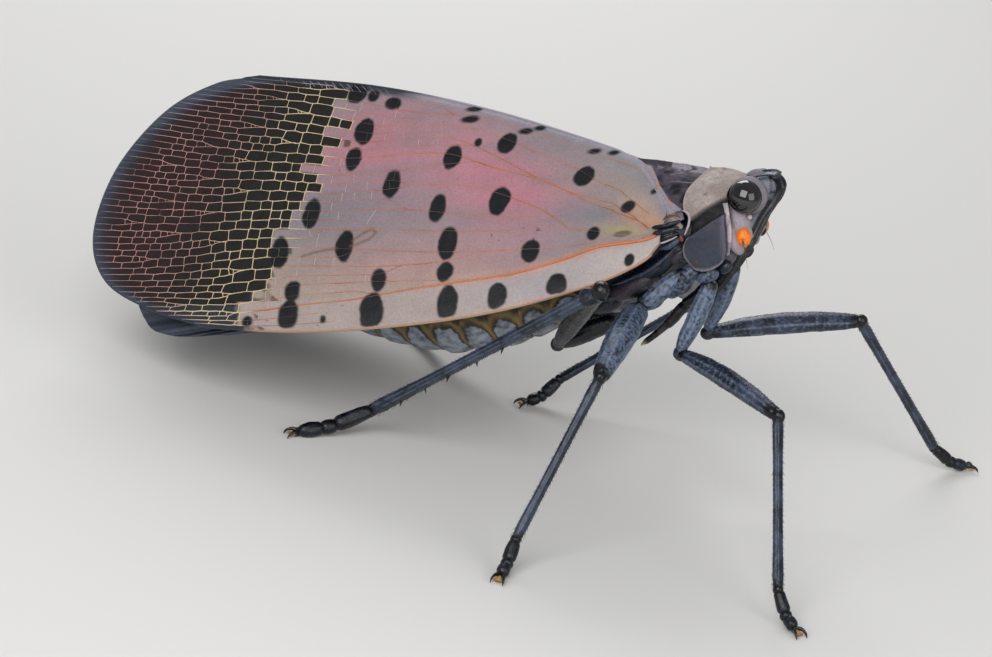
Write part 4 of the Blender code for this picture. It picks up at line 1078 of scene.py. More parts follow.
def add_pronotum(skin):
    """The saddle between head and wings: tan disc, black groove and dark lobes with pale rims."""
    rows, half_columns = 61, 141
    hind, fore = smooth(PRONOTUM_HIND, half_columns), smooth(PRONOTUM_FORE, half_columns)
    t = np.linspace(0.0, 1.0, rows)[:, None]
    half = mix(hind, fore, t)
    low = np.linspace(0.0, 1.0, half_columns)[None]
    arch = np.sin(math.pi * t)
    half[..., 2] += 0.1 * arch * (1 - low) - FOOT_SAG * arch ** 0.7 * ease(low, 0.8, 1.0)
    full = np.concatenate([half[:, :0:-1] * (1, -1, 1), half], axis=1)
    slope = np.gradient(full, axis=1)
    normal = unit(np.stack([np.zeros(full.shape[:2]), -slope[..., 2], slope[..., 1]], -1))
    groove = 1 - ease(polyline_distance(full[..., ::2], GROOVE), 0.19, 0.27)
    below = ease(np.interp(full[..., 0], *zip(*GROOVE)) - full[..., 2], 0.0, 0.1)
    share = np.broadcast_to(t, full.shape[:2])
    foot = np.abs(np.linspace(-1, 1, full.shape[1]))[None, :]
    rim = 0.8 * np.maximum(1 - ease(share, 0.015, 0.045), ease(foot, 0.975, 0.99))
    keel = bump(full[..., 1], 0.0, 0.05)
    pits = sum(bump(np.linalg.norm(full - (x, side * y, z), axis=-1), 0.0, 0.08)
               for x, y, z in PRONOTUM_PITS for side in (-1, 1))
    pits = np.clip(pits, 0, 1)
    lift = 0.05 * rim + 0.03 * keel - 0.2 * groove - 0.04 * pits
    lift = lift + 0.05 * (patches(full, 0.5, 91) - 0.5) + 0.02 * (patches(full, 0.12, 92) - 0.5)
    disc = layered(BODY["tan"], BODY, [
        ("tan_pale", ease(patches(full, 0.5, 93), 0.35, 0.7)), ("pit", 0.7 * pits),
        ("pit", 0.35 * ease(patches(full, 0.35, 94), 0.6, 0.72))])
    lobe = layered(BODY["lobe"], BODY, [
        ("slate", 0.5 * ease(patches(full, 0.4, 95), 0.35, 0.65)),
        ("violet", 0.45 * ease(patches(full, 0.7, 99), 0.5, 0.7)), ("lilac", 0.5 * ease(share, 0.8, 1.0))])
    shade = mix(mix(disc, lobe, below), BODY["black"], groove)
    shade = mix(shade, blend("rim", "lilac", 0.5 * below), (0.9 - 0.35 * below) * rim * (1 - groove))
    outer = from_body(full + normal * lift[..., None])
    inner = from_body(full - normal * PLATE_THICK)
    skin.plate(outer, inner, shade, 0.1 * (1 - below) * (1 - groove), SHIELD)


# The plate between the wings: its fore edge and the edge along the wing's root, from the middle out.
SCUTUM_FORE = [(2.25, 0.0, 2.12), (2.0, 0.6, 1.93), (1.72, 1.2, 1.58), (1.8, 1.72, 1.12)]
SCUTUM_WING = [(-0.1, 0.0, 2.66), (0.14, 0.42, 2.28), (0.62, 1.1, 1.64), (1.1, 1.74, 1.0)]
# Where the lilac and tan margin along the wing begins, as (share aside, share back).
SCUTUM_MARGIN = [(0.0, 1.1), (0.15, 0.8), (0.5, 0.72), (0.8, 0.48), (1.0, 0.05)]


def add_mesonotum(skin):
    """The dark velvety plate between the wing roots, edged in lilac and tan along the wing."""
    t, a = np.meshgrid(np.linspace(0, 1, 61), np.linspace(-1, 1, 121), indexing="ij")
    steps = np.linspace(0, 1, 60)
    fore, wing = (read_line(smooth(edge, 60), steps, np.abs(a)) for edge in (SCUTUM_FORE, SCUTUM_WING))
    points = mix(fore, wing, t)
    points[..., 1] *= np.sign(a)
    points[..., 2] += 0.04 * np.sin(math.pi * t) * (1 - a * a)
    edge = t - np.interp(np.abs(a), *zip(*SCUTUM_MARGIN))
    ridge = bump(np.abs(a), 0.45, 0.03) * (1 - ease(t, 0.4, 0.6)) + 0.8 * bump(a, 0.0, 0.03)
    ridge = ridge + bump(edge, 0.03, 0.05) + bump(edge, 0.22, 0.06)
    points[..., 2] += 0.04 * ridge + 0.05 * (patches(points, 0.3, 96) - 0.5)
    shade = blend("violet", "black", ease(patches(points, 0.35, 97), 0.4, 0.7))
    middle = blend("root_lilac", "brown", ease(patches(points, 0.3, 100), 0.45, 0.6))
    shade = mix(shade, middle, 0.8 * (1 - ease(np.abs(a), 0.1, 0.2)))
    tan = blend("root_tan", "root_lilac", ease(patches(points, 0.4, 98), 0.4, 0.65))
    shade = mix(shade, tan, ease(edge, 0.0, 0.03))
    shade = mix(shade, BODY["root_lilac"], ease(edge, 0.13, 0.17))
    skin.plate(from_body(points), from_body(points - (0.0, 0.0, PLATE_THICK)), shade, 0.05, SHIELD)


# Side plates of the thorax, as (middle, radii, the way it runs, wax, colour or None for mottled cuticle).
SIDE_PLATES = [
    ((1.3, 1.62, 0.1), (0.8, 0.3, 0.4), (0.6, 0.1, -0.75), 0.0, "brown"),
    ((1.0, 1.72, -0.45), (0.8, 0.3, 0.34), (0.75, 0.05, 0.7), 0.05, "blue_black"),
    ((0.3, 1.82, -0.8), (0.95, 0.3, 0.3), (1.0, 0.0, 0.55), 0.1, "blue_black"),
    ((-0.35, 1.92, -1.25), (0.95, 0.34, 0.3), (1.0, 0.0, 0.42), -0.1, "brown"),
    ((-1.2, 1.85, -1.65), (0.7, 0.4, 0.42), (1.0, 0.0, 0.2), 0.05, "blue_black"),
    ((1.44, 1.66, -1.2), (0.74, 0.3, 0.3), (0.75, 0.0, 0.66), 0.3, None),
    ((1.46, 1.86, -0.3), (0.36, 0.18, 0.2), (0.6, 0.0, 0.42), 0.0, "brown"),
    ((0.55, 1.78, -1.28), (0.4, 0.36, 0.28), (1.0, 0.0, -0.3), 0.0, "brown"),
    ((-0.2, 1.95, -1.28), (0.6, 0.3, 0.2), (1.0, 0.0, 0.1), -0.1, "black"),
    ((2.2, 1.42, -1.1), (0.42, 0.24, 0.2), (0.9, 0.0, 0.1), 0.35, None),
    ((2.8, 1.22, -0.9), (0.26, 0.2, 0.18), (0.7, 0.0, 0.5), 0.1, "blue_black"),
    ((0.3, 1.7, -1.7), (0.5, 0.35, 0.35), (1.0, 0.0, 0.3), 0.1, None),
]
# The pale ridge under the wing's edge, and small hard pieces at the wing's root with their colours.
SIDE_RIDGE = [(-0.84, 2.2, -1.04), (-0.5, 2.25, -0.99), (0.41, 2.2, -0.7), (1.1, 2.12, -0.3),
              (1.6, 2.05, 0.12)]
# The two thin rim-coloured streaks are partly painted highlights: the glint along the dark folds and round
# the root's fore edge.
ROOT_STREAKS = [
    ([(0.93, 2.5, 0.78), (1.43, 2.56, 0.83), (1.94, 2.45, 0.94)], 0.085, "black"),
    ([(0.95, 2.52, 0.6), (1.4, 2.6, 0.66), (1.86, 2.48, 0.74)], 0.09, "blue_black"),
    ([(1.0, 2.46, 0.36), (1.41, 2.52, 0.44), (1.8, 2.4, 0.55)], 0.1, "black"),
    ([(0.96, 2.52, 0.26), (1.31, 2.58, 0.3), (1.75, 2.46, 0.44)], 0.035, "rim"),
    ([(1.05, 2.4, 0.08), (1.4, 2.45, 0.12), (1.8, 2.32, 0.34)], 0.09, "slate"),
    ([(1.3, 2.38, 0.98), (1.5, 2.42, 1.12), (1.75, 2.38, 1.12), (1.93, 2.34, 1.0)], 0.035, "rust"),
    ([(1.9, 2.15, 1.22), (2.1, 2.12, 1.08), (2.12, 2.22, 0.82), (2.02, 2.28, 0.58), (1.93, 2.3, 0.42)],
     0.036, "rim"),
    ([(1.45, 2.2, 0.98), (1.7, 2.3, 0.84), (1.9, 2.28, 0.66)], 0.12, "tan"),
    ([(1.82, 2.36, 0.44), (1.86, 2.38, 0.24)], 0.07, "rust"),
]


def rod(skin, path, thick, shade, rough, wax=0.0, look=CUTICLE, taper=0.5, seed=0):
    """A thin piece along a path, a little uneven and drawn out at its ends."""
    line = smooth(path, 40)
    along = np.abs(np.linspace(-1.0, 1.0, 40))
    size = np.maximum(thick * (1 - taper * along ** 2.5) * np.sqrt(1 - along ** 12), 0.002)
    rings = uneven(sweep(line, size, size, (0.13, 0.9, 0.4)), line[:, None], 2 * rough, 0.15, 170 + seed)
    skin.tube(from_body(rings), shade, wax, look)


def add_side_plates(skin):
    """The plates, the ridge and the small hard pieces under and before the wings."""
    for side in SIDES.values():
        flip = np.array((1, side, 1))
        for place, radii, way, wax, name in SIDE_PLATES:
            lump(skin, place * flip, radii, way * flip, (0, side, 0.2), 0.07, 0.25, BODY.get(name), wax)
        rod(skin, np.array(SIDE_RIDGE) * flip, 0.06, BODY["slate"], 0.2, wax=0.15, taper=0.6)
        for number, (path, thick, name) in enumerate(ROOT_STREAKS):
            look = SHIELD if name in ("tan", "rim") else GLOSSY
            rod(skin, np.array(path) * flip, thick, BODY[name], 0.25, look=look, seed=number)


# The head's sections from its top to its chin, as (fore x, fore z, hind x, hind z, half width).
HEAD = [(4.22, 1.88, 4.0, 1.84, 0.1), (4.44, 1.84, 3.85, 1.8, 0.32), (4.62, 1.7, 3.65, 1.75, 0.46),
        (4.72, 1.46, 3.42, 1.6, 0.54), (4.7, 1.2, 3.26, 1.26, 0.6), (4.54, 0.95, 3.22, 0.96, 0.68),
        (4.27, 0.67, 3.2, 0.7, 0.74), (3.98, 0.33, 3.15, 0.3, 0.8), (3.74, -0.05, 2.98, -0.02, 0.84),
        (3.4, -0.5, 2.72, -0.35, 0.82), (3.04, -0.98, 2.36, -0.72, 0.74), (2.6, -1.45, 1.96, -1.15, 0.6),
        (2.15, -1.86, 1.6, -1.52, 0.46), (1.6, -2.16, 1.2, -1.86, 0.32), (0.95, -2.38, 0.8, -2.1, 0.2)]
# Middles and half sizes of the eye and of the feeler's swollen joint.
EYE_AT = (3.69, 0.98, 1.29)
EYE_RADII = (0.54, 0.52, 0.56)
PEDICEL_AT = (3.48, 1.01, 0.0)
PEDICEL_RADII = (0.25, 0.25, 0.31)
# From the middle of the feeler's swollen joint: a dimple in it, and the course of its bristle.
DIMPLE_AT = (0.02, 0.24, -0.07)
BRISTLE = [(0.02, 0.2, -0.1), (0.06, 0.28, -0.34), (0.12, 0.4, -0.62), (0.16, 0.48, -0.95)]
# Where the face's keels stand, as shares of its half width.
KEELS = (0.3, 0.86)
# A power below one makes the head's sections squarer than round.
HEAD_SQUARE = 0.72
# The ridge along each side of the brow.
BROW = [(4.58, 0.3, 1.78), (4.4, 0.42, 1.85), (4.12, 0.5, 1.86), (3.8, 0.58, 1.83), (3.5, 0.7, 1.8)]


def add_head(skin):
    """A keeled black face under a grey brow, with pale cheeks round eye and feeler."""
    rows, around = 150, 160
    stations = smooth(HEAD, rows)
    flat = np.array((1.0, 0.0, 1.0))
    fore, hind = (stations[:, None, k] * flat for k in ((0, 0, 1), (2, 0, 3)))
    half = stations[:, 4][:, None]
    turn = 2 * math.pi * np.arange(around)[None, :] / around
    c, s = np.cos(turn), np.sin(turn)
    across = np.sign(s) * np.abs(s) ** HEAD_SQUARE
    along = 0.5 - 0.5 * np.sign(c) * np.abs(c) ** HEAD_SQUARE
    points = fore + (hind - fore) * along[..., None]
    points[..., 1] += half * across
    front = ease(0.42 - along, 0.0, 0.1)
    level = np.linspace(0, 1, rows)[:, None]
    keel = sum(bump(np.abs(across), place, 0.045) for place in KEELS) * front * (1 - ease(level, 0.8, 0.95))
    hollow = ease(level, 0.12, 0.2) * (1 - ease(level, 0.7, 0.9))
    hollow = hollow * (1 - ease(np.abs(across), 0.6, 0.82)) * front
    wrinkle = 0.035 * (patches(points, 0.16, 101) - 0.5) + 0.05 * (patches(points, 0.5, 102) - 0.5)
    points = points + unit(fore - hind) * (0.06 * keel - 0.05 * hollow)[..., None]
    middle = points.mean(1, keepdims=True)
    points = middle + (points - middle) * (1 + wrinkle[..., None])
    z = points[..., 2]
    face = ease(0.26 - along, 0.0, 0.05) * ease(level, 0.03, 0.07)
    shade = blend("vertex", "slate", ease(patches(points, 0.3, 103), 0.35, 0.65))
    cheek = ease(np.abs(across), 0.55, 0.8) * (along > 0.25) * ease(1.9 - z, 0.0, 0.3)
    shade = mix(shade, blend("grey_face", "lilac", ease(0.9 - z, 0.0, 0.5)), 0.9 * cheek)
    # Paler edge colour along the keels' upper parts, in patches: partly their own colour, partly a painted
    # highlight.
    keel_edge_and_highlight = 0.5 * keel * ease(z, 0.9, 1.3) * ease(patches(points, 0.25, 104), 0.3, 0.6)
    shade = layered(shade, BODY, [("black", face), ("edge", keel_edge_and_highlight), ("black", ease(level, 0.6, 0.7))])
    skin.tube(from_body(points), shade, 0.22 * (1 - face) * (1 - ease(level, 0.1, 0.3)), GLOSSY)
    lump(skin, (4.5, 0.0, 1.74), (0.16, 0.36, 0.12), (1, 0, -0.3), rough=0.16, size=0.15, wax=0.1,
         shade=blend("vertex", "black", 0.5))
    for side in SIDES.values():
        add_cheek(skin, side)
        rings = sweep(smooth(np.array(BROW) * (1, side, 1), 40), 0.03, 0.04, (0, side, 0.6), 12)
        skin.tube(from_body(rings), blend("black", "slate", patches(rings, 0.2, 105)), 0.05)


def ring_round(skin, centre, radius, thick, axis, shade):
    """A pale ring of uneven thickness round an axis through a place on the body."""
    axis = unit(axis)
    first = unit(np.cross(axis, (0.0, 0.0, 1.0)))
    turn = np.linspace(0, 2 * math.pi, 65)[:, None]
    path = centre + radius * (np.cos(turn) * first + np.sin(turn) * np.cross(first, axis))
    size = thick * (0.85 + 0.3 * noise(path, 0.3, 111))
    skin.tube(from_body(sweep(path, size, size, axis, 12)), shade, 0.1, SHIELD)


# The cheek's rounded forms: the bed of the eye, two pale cheeks, the feeler's bed, a black one below it
# (the dark socket, partly a painted shadow under the feeler) and two towards the beak, as (middle, radii,
# rise of the first radius, roughness and its size, two colours and the share of the second, wax, look).
CHEEK_LUMPS = [
    ((3.69, 0.62, 1.27), (0.64, 0.64, 0.34), 0.0, 0.03, 0.3, ("grey_face", "cheek", 0.3), 0.1, SHIELD),
    ((3.29, 0.66, 0.42), (0.42, 0.86, 0.46), 0.0, 0.04, 0.4, ("lilac", "cheek", 0.5), 0.1, SHIELD),
    ((3.08, 0.86, 0.02), (0.28, 0.66, 0.4), 0.3, 0.04, 0.4, ("lilac", "cheek", 0.5), 0.1, SHIELD),
    ((3.43, 0.68, 0.18), (0.28, 0.42, 0.36), 0.2, 0.04, 0.2, ("lilac", "cheek", 0.6), 0.1, SHIELD),
    ((3.49, 0.78, -0.14), (0.2, 0.2, 0.2), 0.0, 0.03, 0.3, ("black", "black", 0.0), 0.0, GLOSSY),
    ((2.95, 1.02, -0.6), (0.2, 0.2, 0.24), 0.0, 0.12, 0.15, ("lilac", "black", 0.6), 0.1, CUTICLE),
    ((3.1, 0.74, -0.42), (0.2, 0.2, 0.3), 0.0, 0.12, 0.15, ("lilac", "black", 0.6), 0.1, CUTICLE),
]
# Rings round the eye and the feeler: middle, radius, thickness and the colour in the same way.
CHEEK_RINGS = [
    ((3.69, 0.88, 1.29), 0.53, 0.05, ("grey_face", "cheek", 0.3)),
    ((3.46, 0.92, 0.03), 0.24, 0.045, ("lilac", "cheek", 0.5)),
]
CHEEK_STRIPE = [(3.1, 1.28, 1.2), (3.13, 1.33, 0.8), (3.13, 1.32, 0.3), (3.05, 1.28, -0.1), (2.9, 1.2, -0.52)]
# The small pale simple eye below the big one.
OCELLUS_AT, OCELLUS_RADII = (3.74, 0.92, 0.62), (0.085, 0.07, 0.085)


def add_cheek(skin, side):
    """Eye ring, feeler socket, and the pale stripe and cheek behind them."""
    flip = np.array((1, side, 1))
    for place, radii, rise, rough, size, colours, wax, look in CHEEK_LUMPS:
        lump(skin, place * flip, radii, (1, 0, rise), (0, side, 0), rough, size, blend(*colours), wax, look)
    for place, radius, thick, colours in CHEEK_RINGS:
        ring_round(skin, place * flip, radius, thick, (0.12, side, 0.05), blend(*colours))
    rings = sweep(smooth(CHEEK_STRIPE * flip, 60), 0.05, 0.085, (1, 0, 0.2))
    rings = rings + 0.03 * (patches(rings, 0.2, 112)[..., None] - 0.5)
    shade = blend("cheek", "lilac", 0.7 * ease(patches(rings, 0.3, 113), 0.5, 0.75))
    skin.tube(from_body(rings), shade, look=SHIELD)
    lump(skin, OCELLUS_AT * flip, OCELLUS_RADII, rough=0.0, shade=BODY["cheek"], look=GLOSSY)


# The beak's course below the body.
ROSTRUM = [(0.95, 0.0, -2.25), (0.62, 0.0, -2.5), (0.4, 0.0, -2.72), (0.05, 0.0, -2.98), (-0.4, 0.0, -3.28),
           (-0.85, 0.0, -3.55)]


def add_rostrum(skin):
    """The beak, pale at its tip, that lies back below the thorax."""
    t = np.linspace(0, 1, 60)
    size = np.interp(t, [0, 0.1, 0.45, 0.5, 0.9, 1.0], [0.17, 0.2, 0.17, 0.13, 0.1, 0.03])
    rings = sweep(smooth(ROSTRUM, 60), size, size, (0, 1, 0), 20)
    shade = blend("brown", "black", ease(patches(rings, 0.3, 114), 0.4, 0.6))
    shade = mix(shade, BODY["tip"], 0.8 * ease(t, 0.85, 1.0)[:, None])
    skin.tube(from_body(rings), shade, look=GLOSSY)


# Each leg's knee, ankle and claw tip, from the floor.
LEGS = {
    ("front", "right"): ((10.8, -4.15, 5.15), (12.6, -7.55, 0.95), (13.85, -8.5, 0.0)),
    ("front", "left"): ((11.2, 4.2, 5.75), (14.1, 7.05, 0.9), (15.5, 8.3, 0.0)),
    ("mid", "right"): ((5.5, -6.6, 5.75), (4.55, -9.55, 0.95), (4.6, -11.1, 0.0)),
    ("mid", "left"): ((5.12, 6.7, 3.95), (1.53, 3.58, 0.95), (0.47, 2.38, 0.0)),
    ("hind", "right"): ((4.55, -4.85, 7.85), (-2.75, -3.25, 0.95), (-5.0, -5.2, 0.0)),
    ("hind", "left"): ((4.75, 5.75, 6.9), (-2.75, 4.2, 0.95), (-5.2, 6.1, 0.0)),
}
# For each pair of legs: the coxa's course in the body's frame; thicknesses along coxa, femur and tibia,
# at the knee and of the foot; how flat the femur is; the wax on coxa and femur; and how far painted
# shade blackens these two, standing for the body's shadow over them.
PAIRS = {
    "front": {"coxa": [(2.35, 1.25, -1.25), (2.15, 1.3, -1.62), (1.65, 1.42, -2.5), (1.15, 1.5, -3.25),
                       (1.0, 1.5, -3.6)],
              "coxa_sizes": (0.26, 0.34, 0.36, 0.3, 0.2), "femur_sizes": (0.22, 0.34, 0.38, 0.34, 0.25),
              "tibia_sizes": (0.2, 0.17, 0.165, 0.17, 0.2), "knee": 0.25, "foot": 0.2, "flat": 0.85,
              "coxa_wax": 0.4, "femur_wax": 0.2, "black_and_shade": 0.0},
    "mid": {"coxa": [(1.6, 1.62, -0.85), (1.15, 1.68, -1.15), (0.7, 1.82, -1.45), (0.2, 2.05, -1.8),
                     (0.0, 2.15, -1.95)],
            "coxa_sizes": (0.2, 0.32, 0.37, 0.32, 0.2), "femur_sizes": (0.36, 0.45, 0.46, 0.38, 0.27),
            "tibia_sizes": (0.2, 0.17, 0.165, 0.17, 0.2), "knee": 0.25, "foot": 0.21, "flat": 1.0,
            "coxa_wax": 0.4, "femur_wax": 0.34, "black_and_shade": 0.0},
    "hind": {"coxa": [(-1.2, 1.2, -2.3), (-1.5, 1.25, -2.5), (-2.2, 1.35, -2.7), (-2.9, 1.4, -2.95),
                      (-3.2, 1.45, -3.05)],
             "coxa_sizes": (0.3, 0.36, 0.4, 0.34, 0.22), "femur_sizes": (0.22, 0.36, 0.38, 0.34, 0.3),
             "tibia_sizes": (0.25, 0.22, 0.2, 0.2, 0.27), "knee": 0.34, "foot": 0.24, "flat": 0.85,
             "coxa_wax": 0.0, "femur_wax": 0.0, "black_and_shade": 0.85},
}
HIP_RADII, SPUR_RADII = (0.26, 0.24, 0.24), (0.42, 0.27, 0.3)
# How black the feet are, and how high toes and heels stand over the floor.
FOOT_BLACK = 0.75
TOE_LEVEL, HEEL_LEVEL = 0.17, 0.38
# Where the fine keels run round a segment, and how far along the hind tibia its spines stand.
KEEL_TURNS = (0.5, 1.2, 1.94, 3.05, 4.2, 5.23)
TIBIA_SPINES = (0.3, 0.42, 0.54, 0.66, 0.77, 0.87)
SPINE_LENGTH, SPINE_RADIUS, HAIR_RADIUS = 0.32, 0.06, 0.011
CLAW_REACH = 0.5
# A claw's course from its root, as (along the foot, aside, up).
CLAW = np.array([(0.0, 0.0, 0.0), (0.2, 0.13, 0.05), (0.37, 0.19, -0.02), (0.46, 0.2, 0.02 - TOE_LEVEL)])


def leg_part(skin, path, sizes, up, seed, flat=0.85, bare=0.25, keeled=0.1, wax=0.2, black_and_shade=0.0):
    """A leg segment with fine keels, rounded ends, wax along it and bare black ends."""
    path = np.asarray(path, float)
    length = np.linalg.norm(np.diff(path, axis=0), axis=1).sum()
    ends = np.array([0.0, 0.015, 0.05, 0.1, 0.17]) / length
    t = np.unique(np.concatenate([np.linspace(0, 1, max(20, round(length / 0.07))), ends, 1 - ends]))
    size = np.interp(t, np.linspace(0, 1, len(sizes)), sizes)
    near = np.minimum(t, 1 - t) * length
    size = size * np.sqrt(np.clip(1 - (1 - np.clip(near / (size * 0.9), 0, 1)) ** 2, 0.003, 1))
    line = smooth(path, t)
    turn = 2 * math.pi * np.arange(36) / 36
    keel = sum(bump((turn - place + math.pi) % (2 * math.pi) - math.pi, 0.0, 0.13) for place in KEEL_TURNS)
    strong = ease(near, 0.15, 0.5)[:, None] * keel[None, :]
    rings = sweep(line, size * flat, size, up, 36, 1 + keeled * strong)
    rings = uneven(rings, line[:, None], 0.1, 0.22, 120 + seed)
    shade = cuticle_tints(rings, seed)
    shade = mix(shade, BODY["edge"], 0.4 * strong * ease(patches(rings, 0.2, 130 + seed), 0.3, 0.55))
    dark = (1 - ease(near, bare, bare + 0.3))[:, None] * ease(patches(rings, 0.3, 140 + seed), 0.35, 0.55)
    # Black where the segment is black, and painted shade where the body's shadow falls on it; no wax there.
    shade = mix(shade, BODY["black"], np.maximum(dark, black_and_shade))
    skin.tube(rings, shade, (wax * (1 - dark) + 0.1 * strong) * (1 - black_and_shade))
    return line, size


def add_hairs(skin, line, size, up, seed, rows=5, spacing=0.11, length=0.14):
    """Fine short hairs that lean towards the foot, in rows along a leg."""
    draw = np.random.default_rng(seed)
    along = unit(np.gradient(line, axis=0))
    total = np.linalg.norm(np.diff(line, axis=0), axis=1).sum()
    for row in range(rows):
        turn = KEEL_TURNS[row % len(KEEL_TURNS)]
        for place in np.arange(0.3, total - 0.2, spacing):
            k = int(place / total * (len(line) - 1))
            aside = unit(np.cross(along[k], np.asarray(up, float)))
            top = np.cross(aside, along[k])
            way = aside * math.cos(turn) + top * math.sin(turn)
            root = line[k] + way * size[k] * 0.9
            tip = root + (way * 0.55 + along[k] * draw.uniform(0.5, 1.1)) * length * draw.uniform(0.6, 1.1)
            add_spike(skin, root, tip, HAIR_RADIUS, BODY["slate"], 3)


def add_spike(skin, root, tip, radius, shade, around, look=CUTICLE):
    """A tapered point from root to tip."""
    t = np.linspace(0, 1, 4 if around < 6 else 9)
    path = mix(root, tip, t)
    size = radius * (1 - 0.93 * t ** 1.3)
    skin.tube(sweep(path, size, size, (0.31, 0.17, 0.93), around), shade, look=look)


def add_leg(skin, leg, word, side, seed):
    """Coxa, femur, tibia and foot of one leg; gives the claws' root and direction."""
    pair = PAIRS[leg]
    coxa = from_body(np.array(pair["coxa"]) * (1, side, 1))
    knee, ankle, claw = (np.array(place) for place in LEGS[leg, word])
    joint = coxa[-1]
    outward = np.array((0.0, side, 0.3))
    leg_part(skin, coxa, pair["coxa_sizes"], outward, seed, wax=pair["coxa_wax"], bare=0.1,
             black_and_shade=pair["black_and_shade"])
    lump(skin, joint, HIP_RADII, knee - joint, rough=0.1, wax=0.15, on_body=False)
    bow = np.array((0.0, 0.0, 0.12))
    femur = [joint, mix(joint, knee, 0.3) + bow, mix(joint, knee, 0.65) + bow, knee]
    line, size = leg_part(skin, femur, pair["femur_sizes"], outward, seed + 1, pair["flat"],
                          wax=pair["femur_wax"], black_and_shade=pair["black_and_shade"])
    add_hairs(skin, line, size, outward, seed + 1, rows=4, spacing=0.16, length=0.1)
    knob = pair["knee"]
    lump(skin, knee, (knob, knob * 0.85, knob), knee - joint, rough=0.1, shade=BODY["black"], look=GLOSSY,
         on_body=False)
    tibia = [knee, mix(knee, ankle, 0.5), ankle]
    line, size = leg_part(skin, tibia, pair["tibia_sizes"], outward, seed + 2, bare=0.1, keeled=0.16,
                          wax=-0.02)
    add_hairs(skin, line, size, outward, seed + 2)
    if leg == "hind":
        lump(skin, mix(knee, ankle, 0.05), SPUR_RADII, ankle - knee, rough=0.15, size=0.2,
             shade=BODY["blue_black"], look=GLOSSY, on_body=False)
        add_tibia_spines(skin, knee, ankle)
    return add_foot(skin, ankle, claw, pair["foot"], seed)


def add_tibia_spines(skin, knee, ankle):
    """Six strong spines along the lower side of the hind tibia, and a crown of them at its end."""
    way = unit(ankle - knee)
    down = unit(np.array((0.0, 0.0, -1.0)) + way * way[2])
    across = np.cross(way, down)
    for number, share in enumerate(TIBIA_SPINES):
        root = mix(knee, ankle, share) + down * 0.1
        lean = across * (0.5 if number % 2 else -0.5)
        tip = root + unit(down + lean + way * 0.8) * SPINE_LENGTH
        add_spike(skin, root, tip, SPINE_RADIUS, BODY["black"], 10, GLOSSY)
    crown_of_spines(skin, ankle - way * 0.12, way, 8, 0.3)


def crown_of_spines(skin, centre, way, count, length):
    """A ring of short spines round the end of a segment."""
    first = unit(np.cross(way, (0.2, 0.1, 1.0)))
    second = np.cross(way, first)
    for k in range(count):
        turn = 2 * math.pi * k / count
        aside = first * math.cos(turn) + second * math.sin(turn)
        root = centre + aside * length * 0.35
        tip = root + aside * length * 0.4 + way * length
        add_spike(skin, root, tip, length * 0.2, BODY["black"], 8, GLOSSY)


def add_foot(skin, ankle, claw, thick, seed):
    """Three black foot joints, the last one bearing the claws; gives the claws' root and direction."""
    along = unit(np.array((claw[0] - ankle[0], claw[1] - ankle[1], 0.0)))
    rest = claw - along * CLAW_REACH + np.array((0, 0, TOE_LEVEL))
    heel = mix(ankle, rest, 0.52)
    heel[2] = HEEL_LEVEL
    second = mix(heel, rest, 0.4) - (0, 0, 0.02)
    lump(skin, ankle, (thick * 0.9, thick * 0.85, thick * 0.9), heel - ankle, rough=0.1, shade=BODY["black"],
         look=GLOSSY, on_body=False)
    back = unit(heel - rest) * 0.14
    joints = [(ankle, heel, (0.9, 0.98, 1.05, 1.1)), (heel + back, second, (1.0, 1.0, 1.0)),
              (second + back, rest + along * 0.05, (0.95, 1.0, 1.0, 0.85))]
    for number, (start, end, shares) in enumerate(joints, 3):
        sizes = [thick * share for share in shares]
        path = [start, mix(start, end, 0.5), end]
        leg_part(skin, path, sizes, (0, 0, 1), seed + number, 1.0, bare=0.5, black_and_shade=FOOT_BLACK)
        crown_of_spines(skin, end - unit(end - start) * 0.1, unit(end - start), 6, thick * 0.9)
    return rest, along


def make_claws(name, rest, along, slot_name):
    """Two small hooked claws with a broad pale pad between them, red-brown at its edge."""
    skin = Skin(name, [cuticle_look, claw_look])
    side = np.cross((0.0, 0.0, 1.0), along)
    size = np.interp(np.linspace(0, 1, 24), [0, 0.3, 0.8, 1], [0.09, 0.07, 0.04, 0.01])
    for turn in (-1, 1):
        path = smooth(rest + CLAW @ np.stack([along, side * turn, (0, 0, 1)]), 24)
        skin.tube(sweep(path, size * 0.8, size, (0.05, 0.1, 1), 12), BODY["black"], look=1)
    t = np.linspace(0.0, 1.0, 16)
    path = rest + (0.05 + 0.3 * t)[:, None] * along - np.outer(0.02 + 0.06 * t, (0, 0, 1))
    end = np.sqrt(np.clip(1 - (2 * np.clip(t, 0.5, 1) - 1) ** 8, 0.01, 1))
    pad = sweep(path, (0.05 + 0.13 * t) * end, (0.05 + 0.02 * t) * end, (0.0, 0.02, 1.0), 20)
    skin.tube(pad, blend("pad", "rust", 0.6 * ease(t, 0.75, 0.95))[:, None], look=1)
    skin.make(slot_name)


def make_eye(word, side):
    """A glossy black eye with a faint brown ring."""
    skin = Skin(f"eye_ball_{word}", [eye_look])
    parts = ball(60, 72, 0.02)[..., (1, 0, 2)]
    points = EYE_AT * np.array((1, side, 1)) + parts * EYE_RADII
    rim = bump(np.linalg.norm(parts[..., ::2], axis=-1), 0.8, 0.05) * (parts[..., 1] * side > 0)
    skin.tube(from_body(points), mix(tint("030304"), tint("1c1312"), rim))
    skin.make("eye", f"eye_{word}")


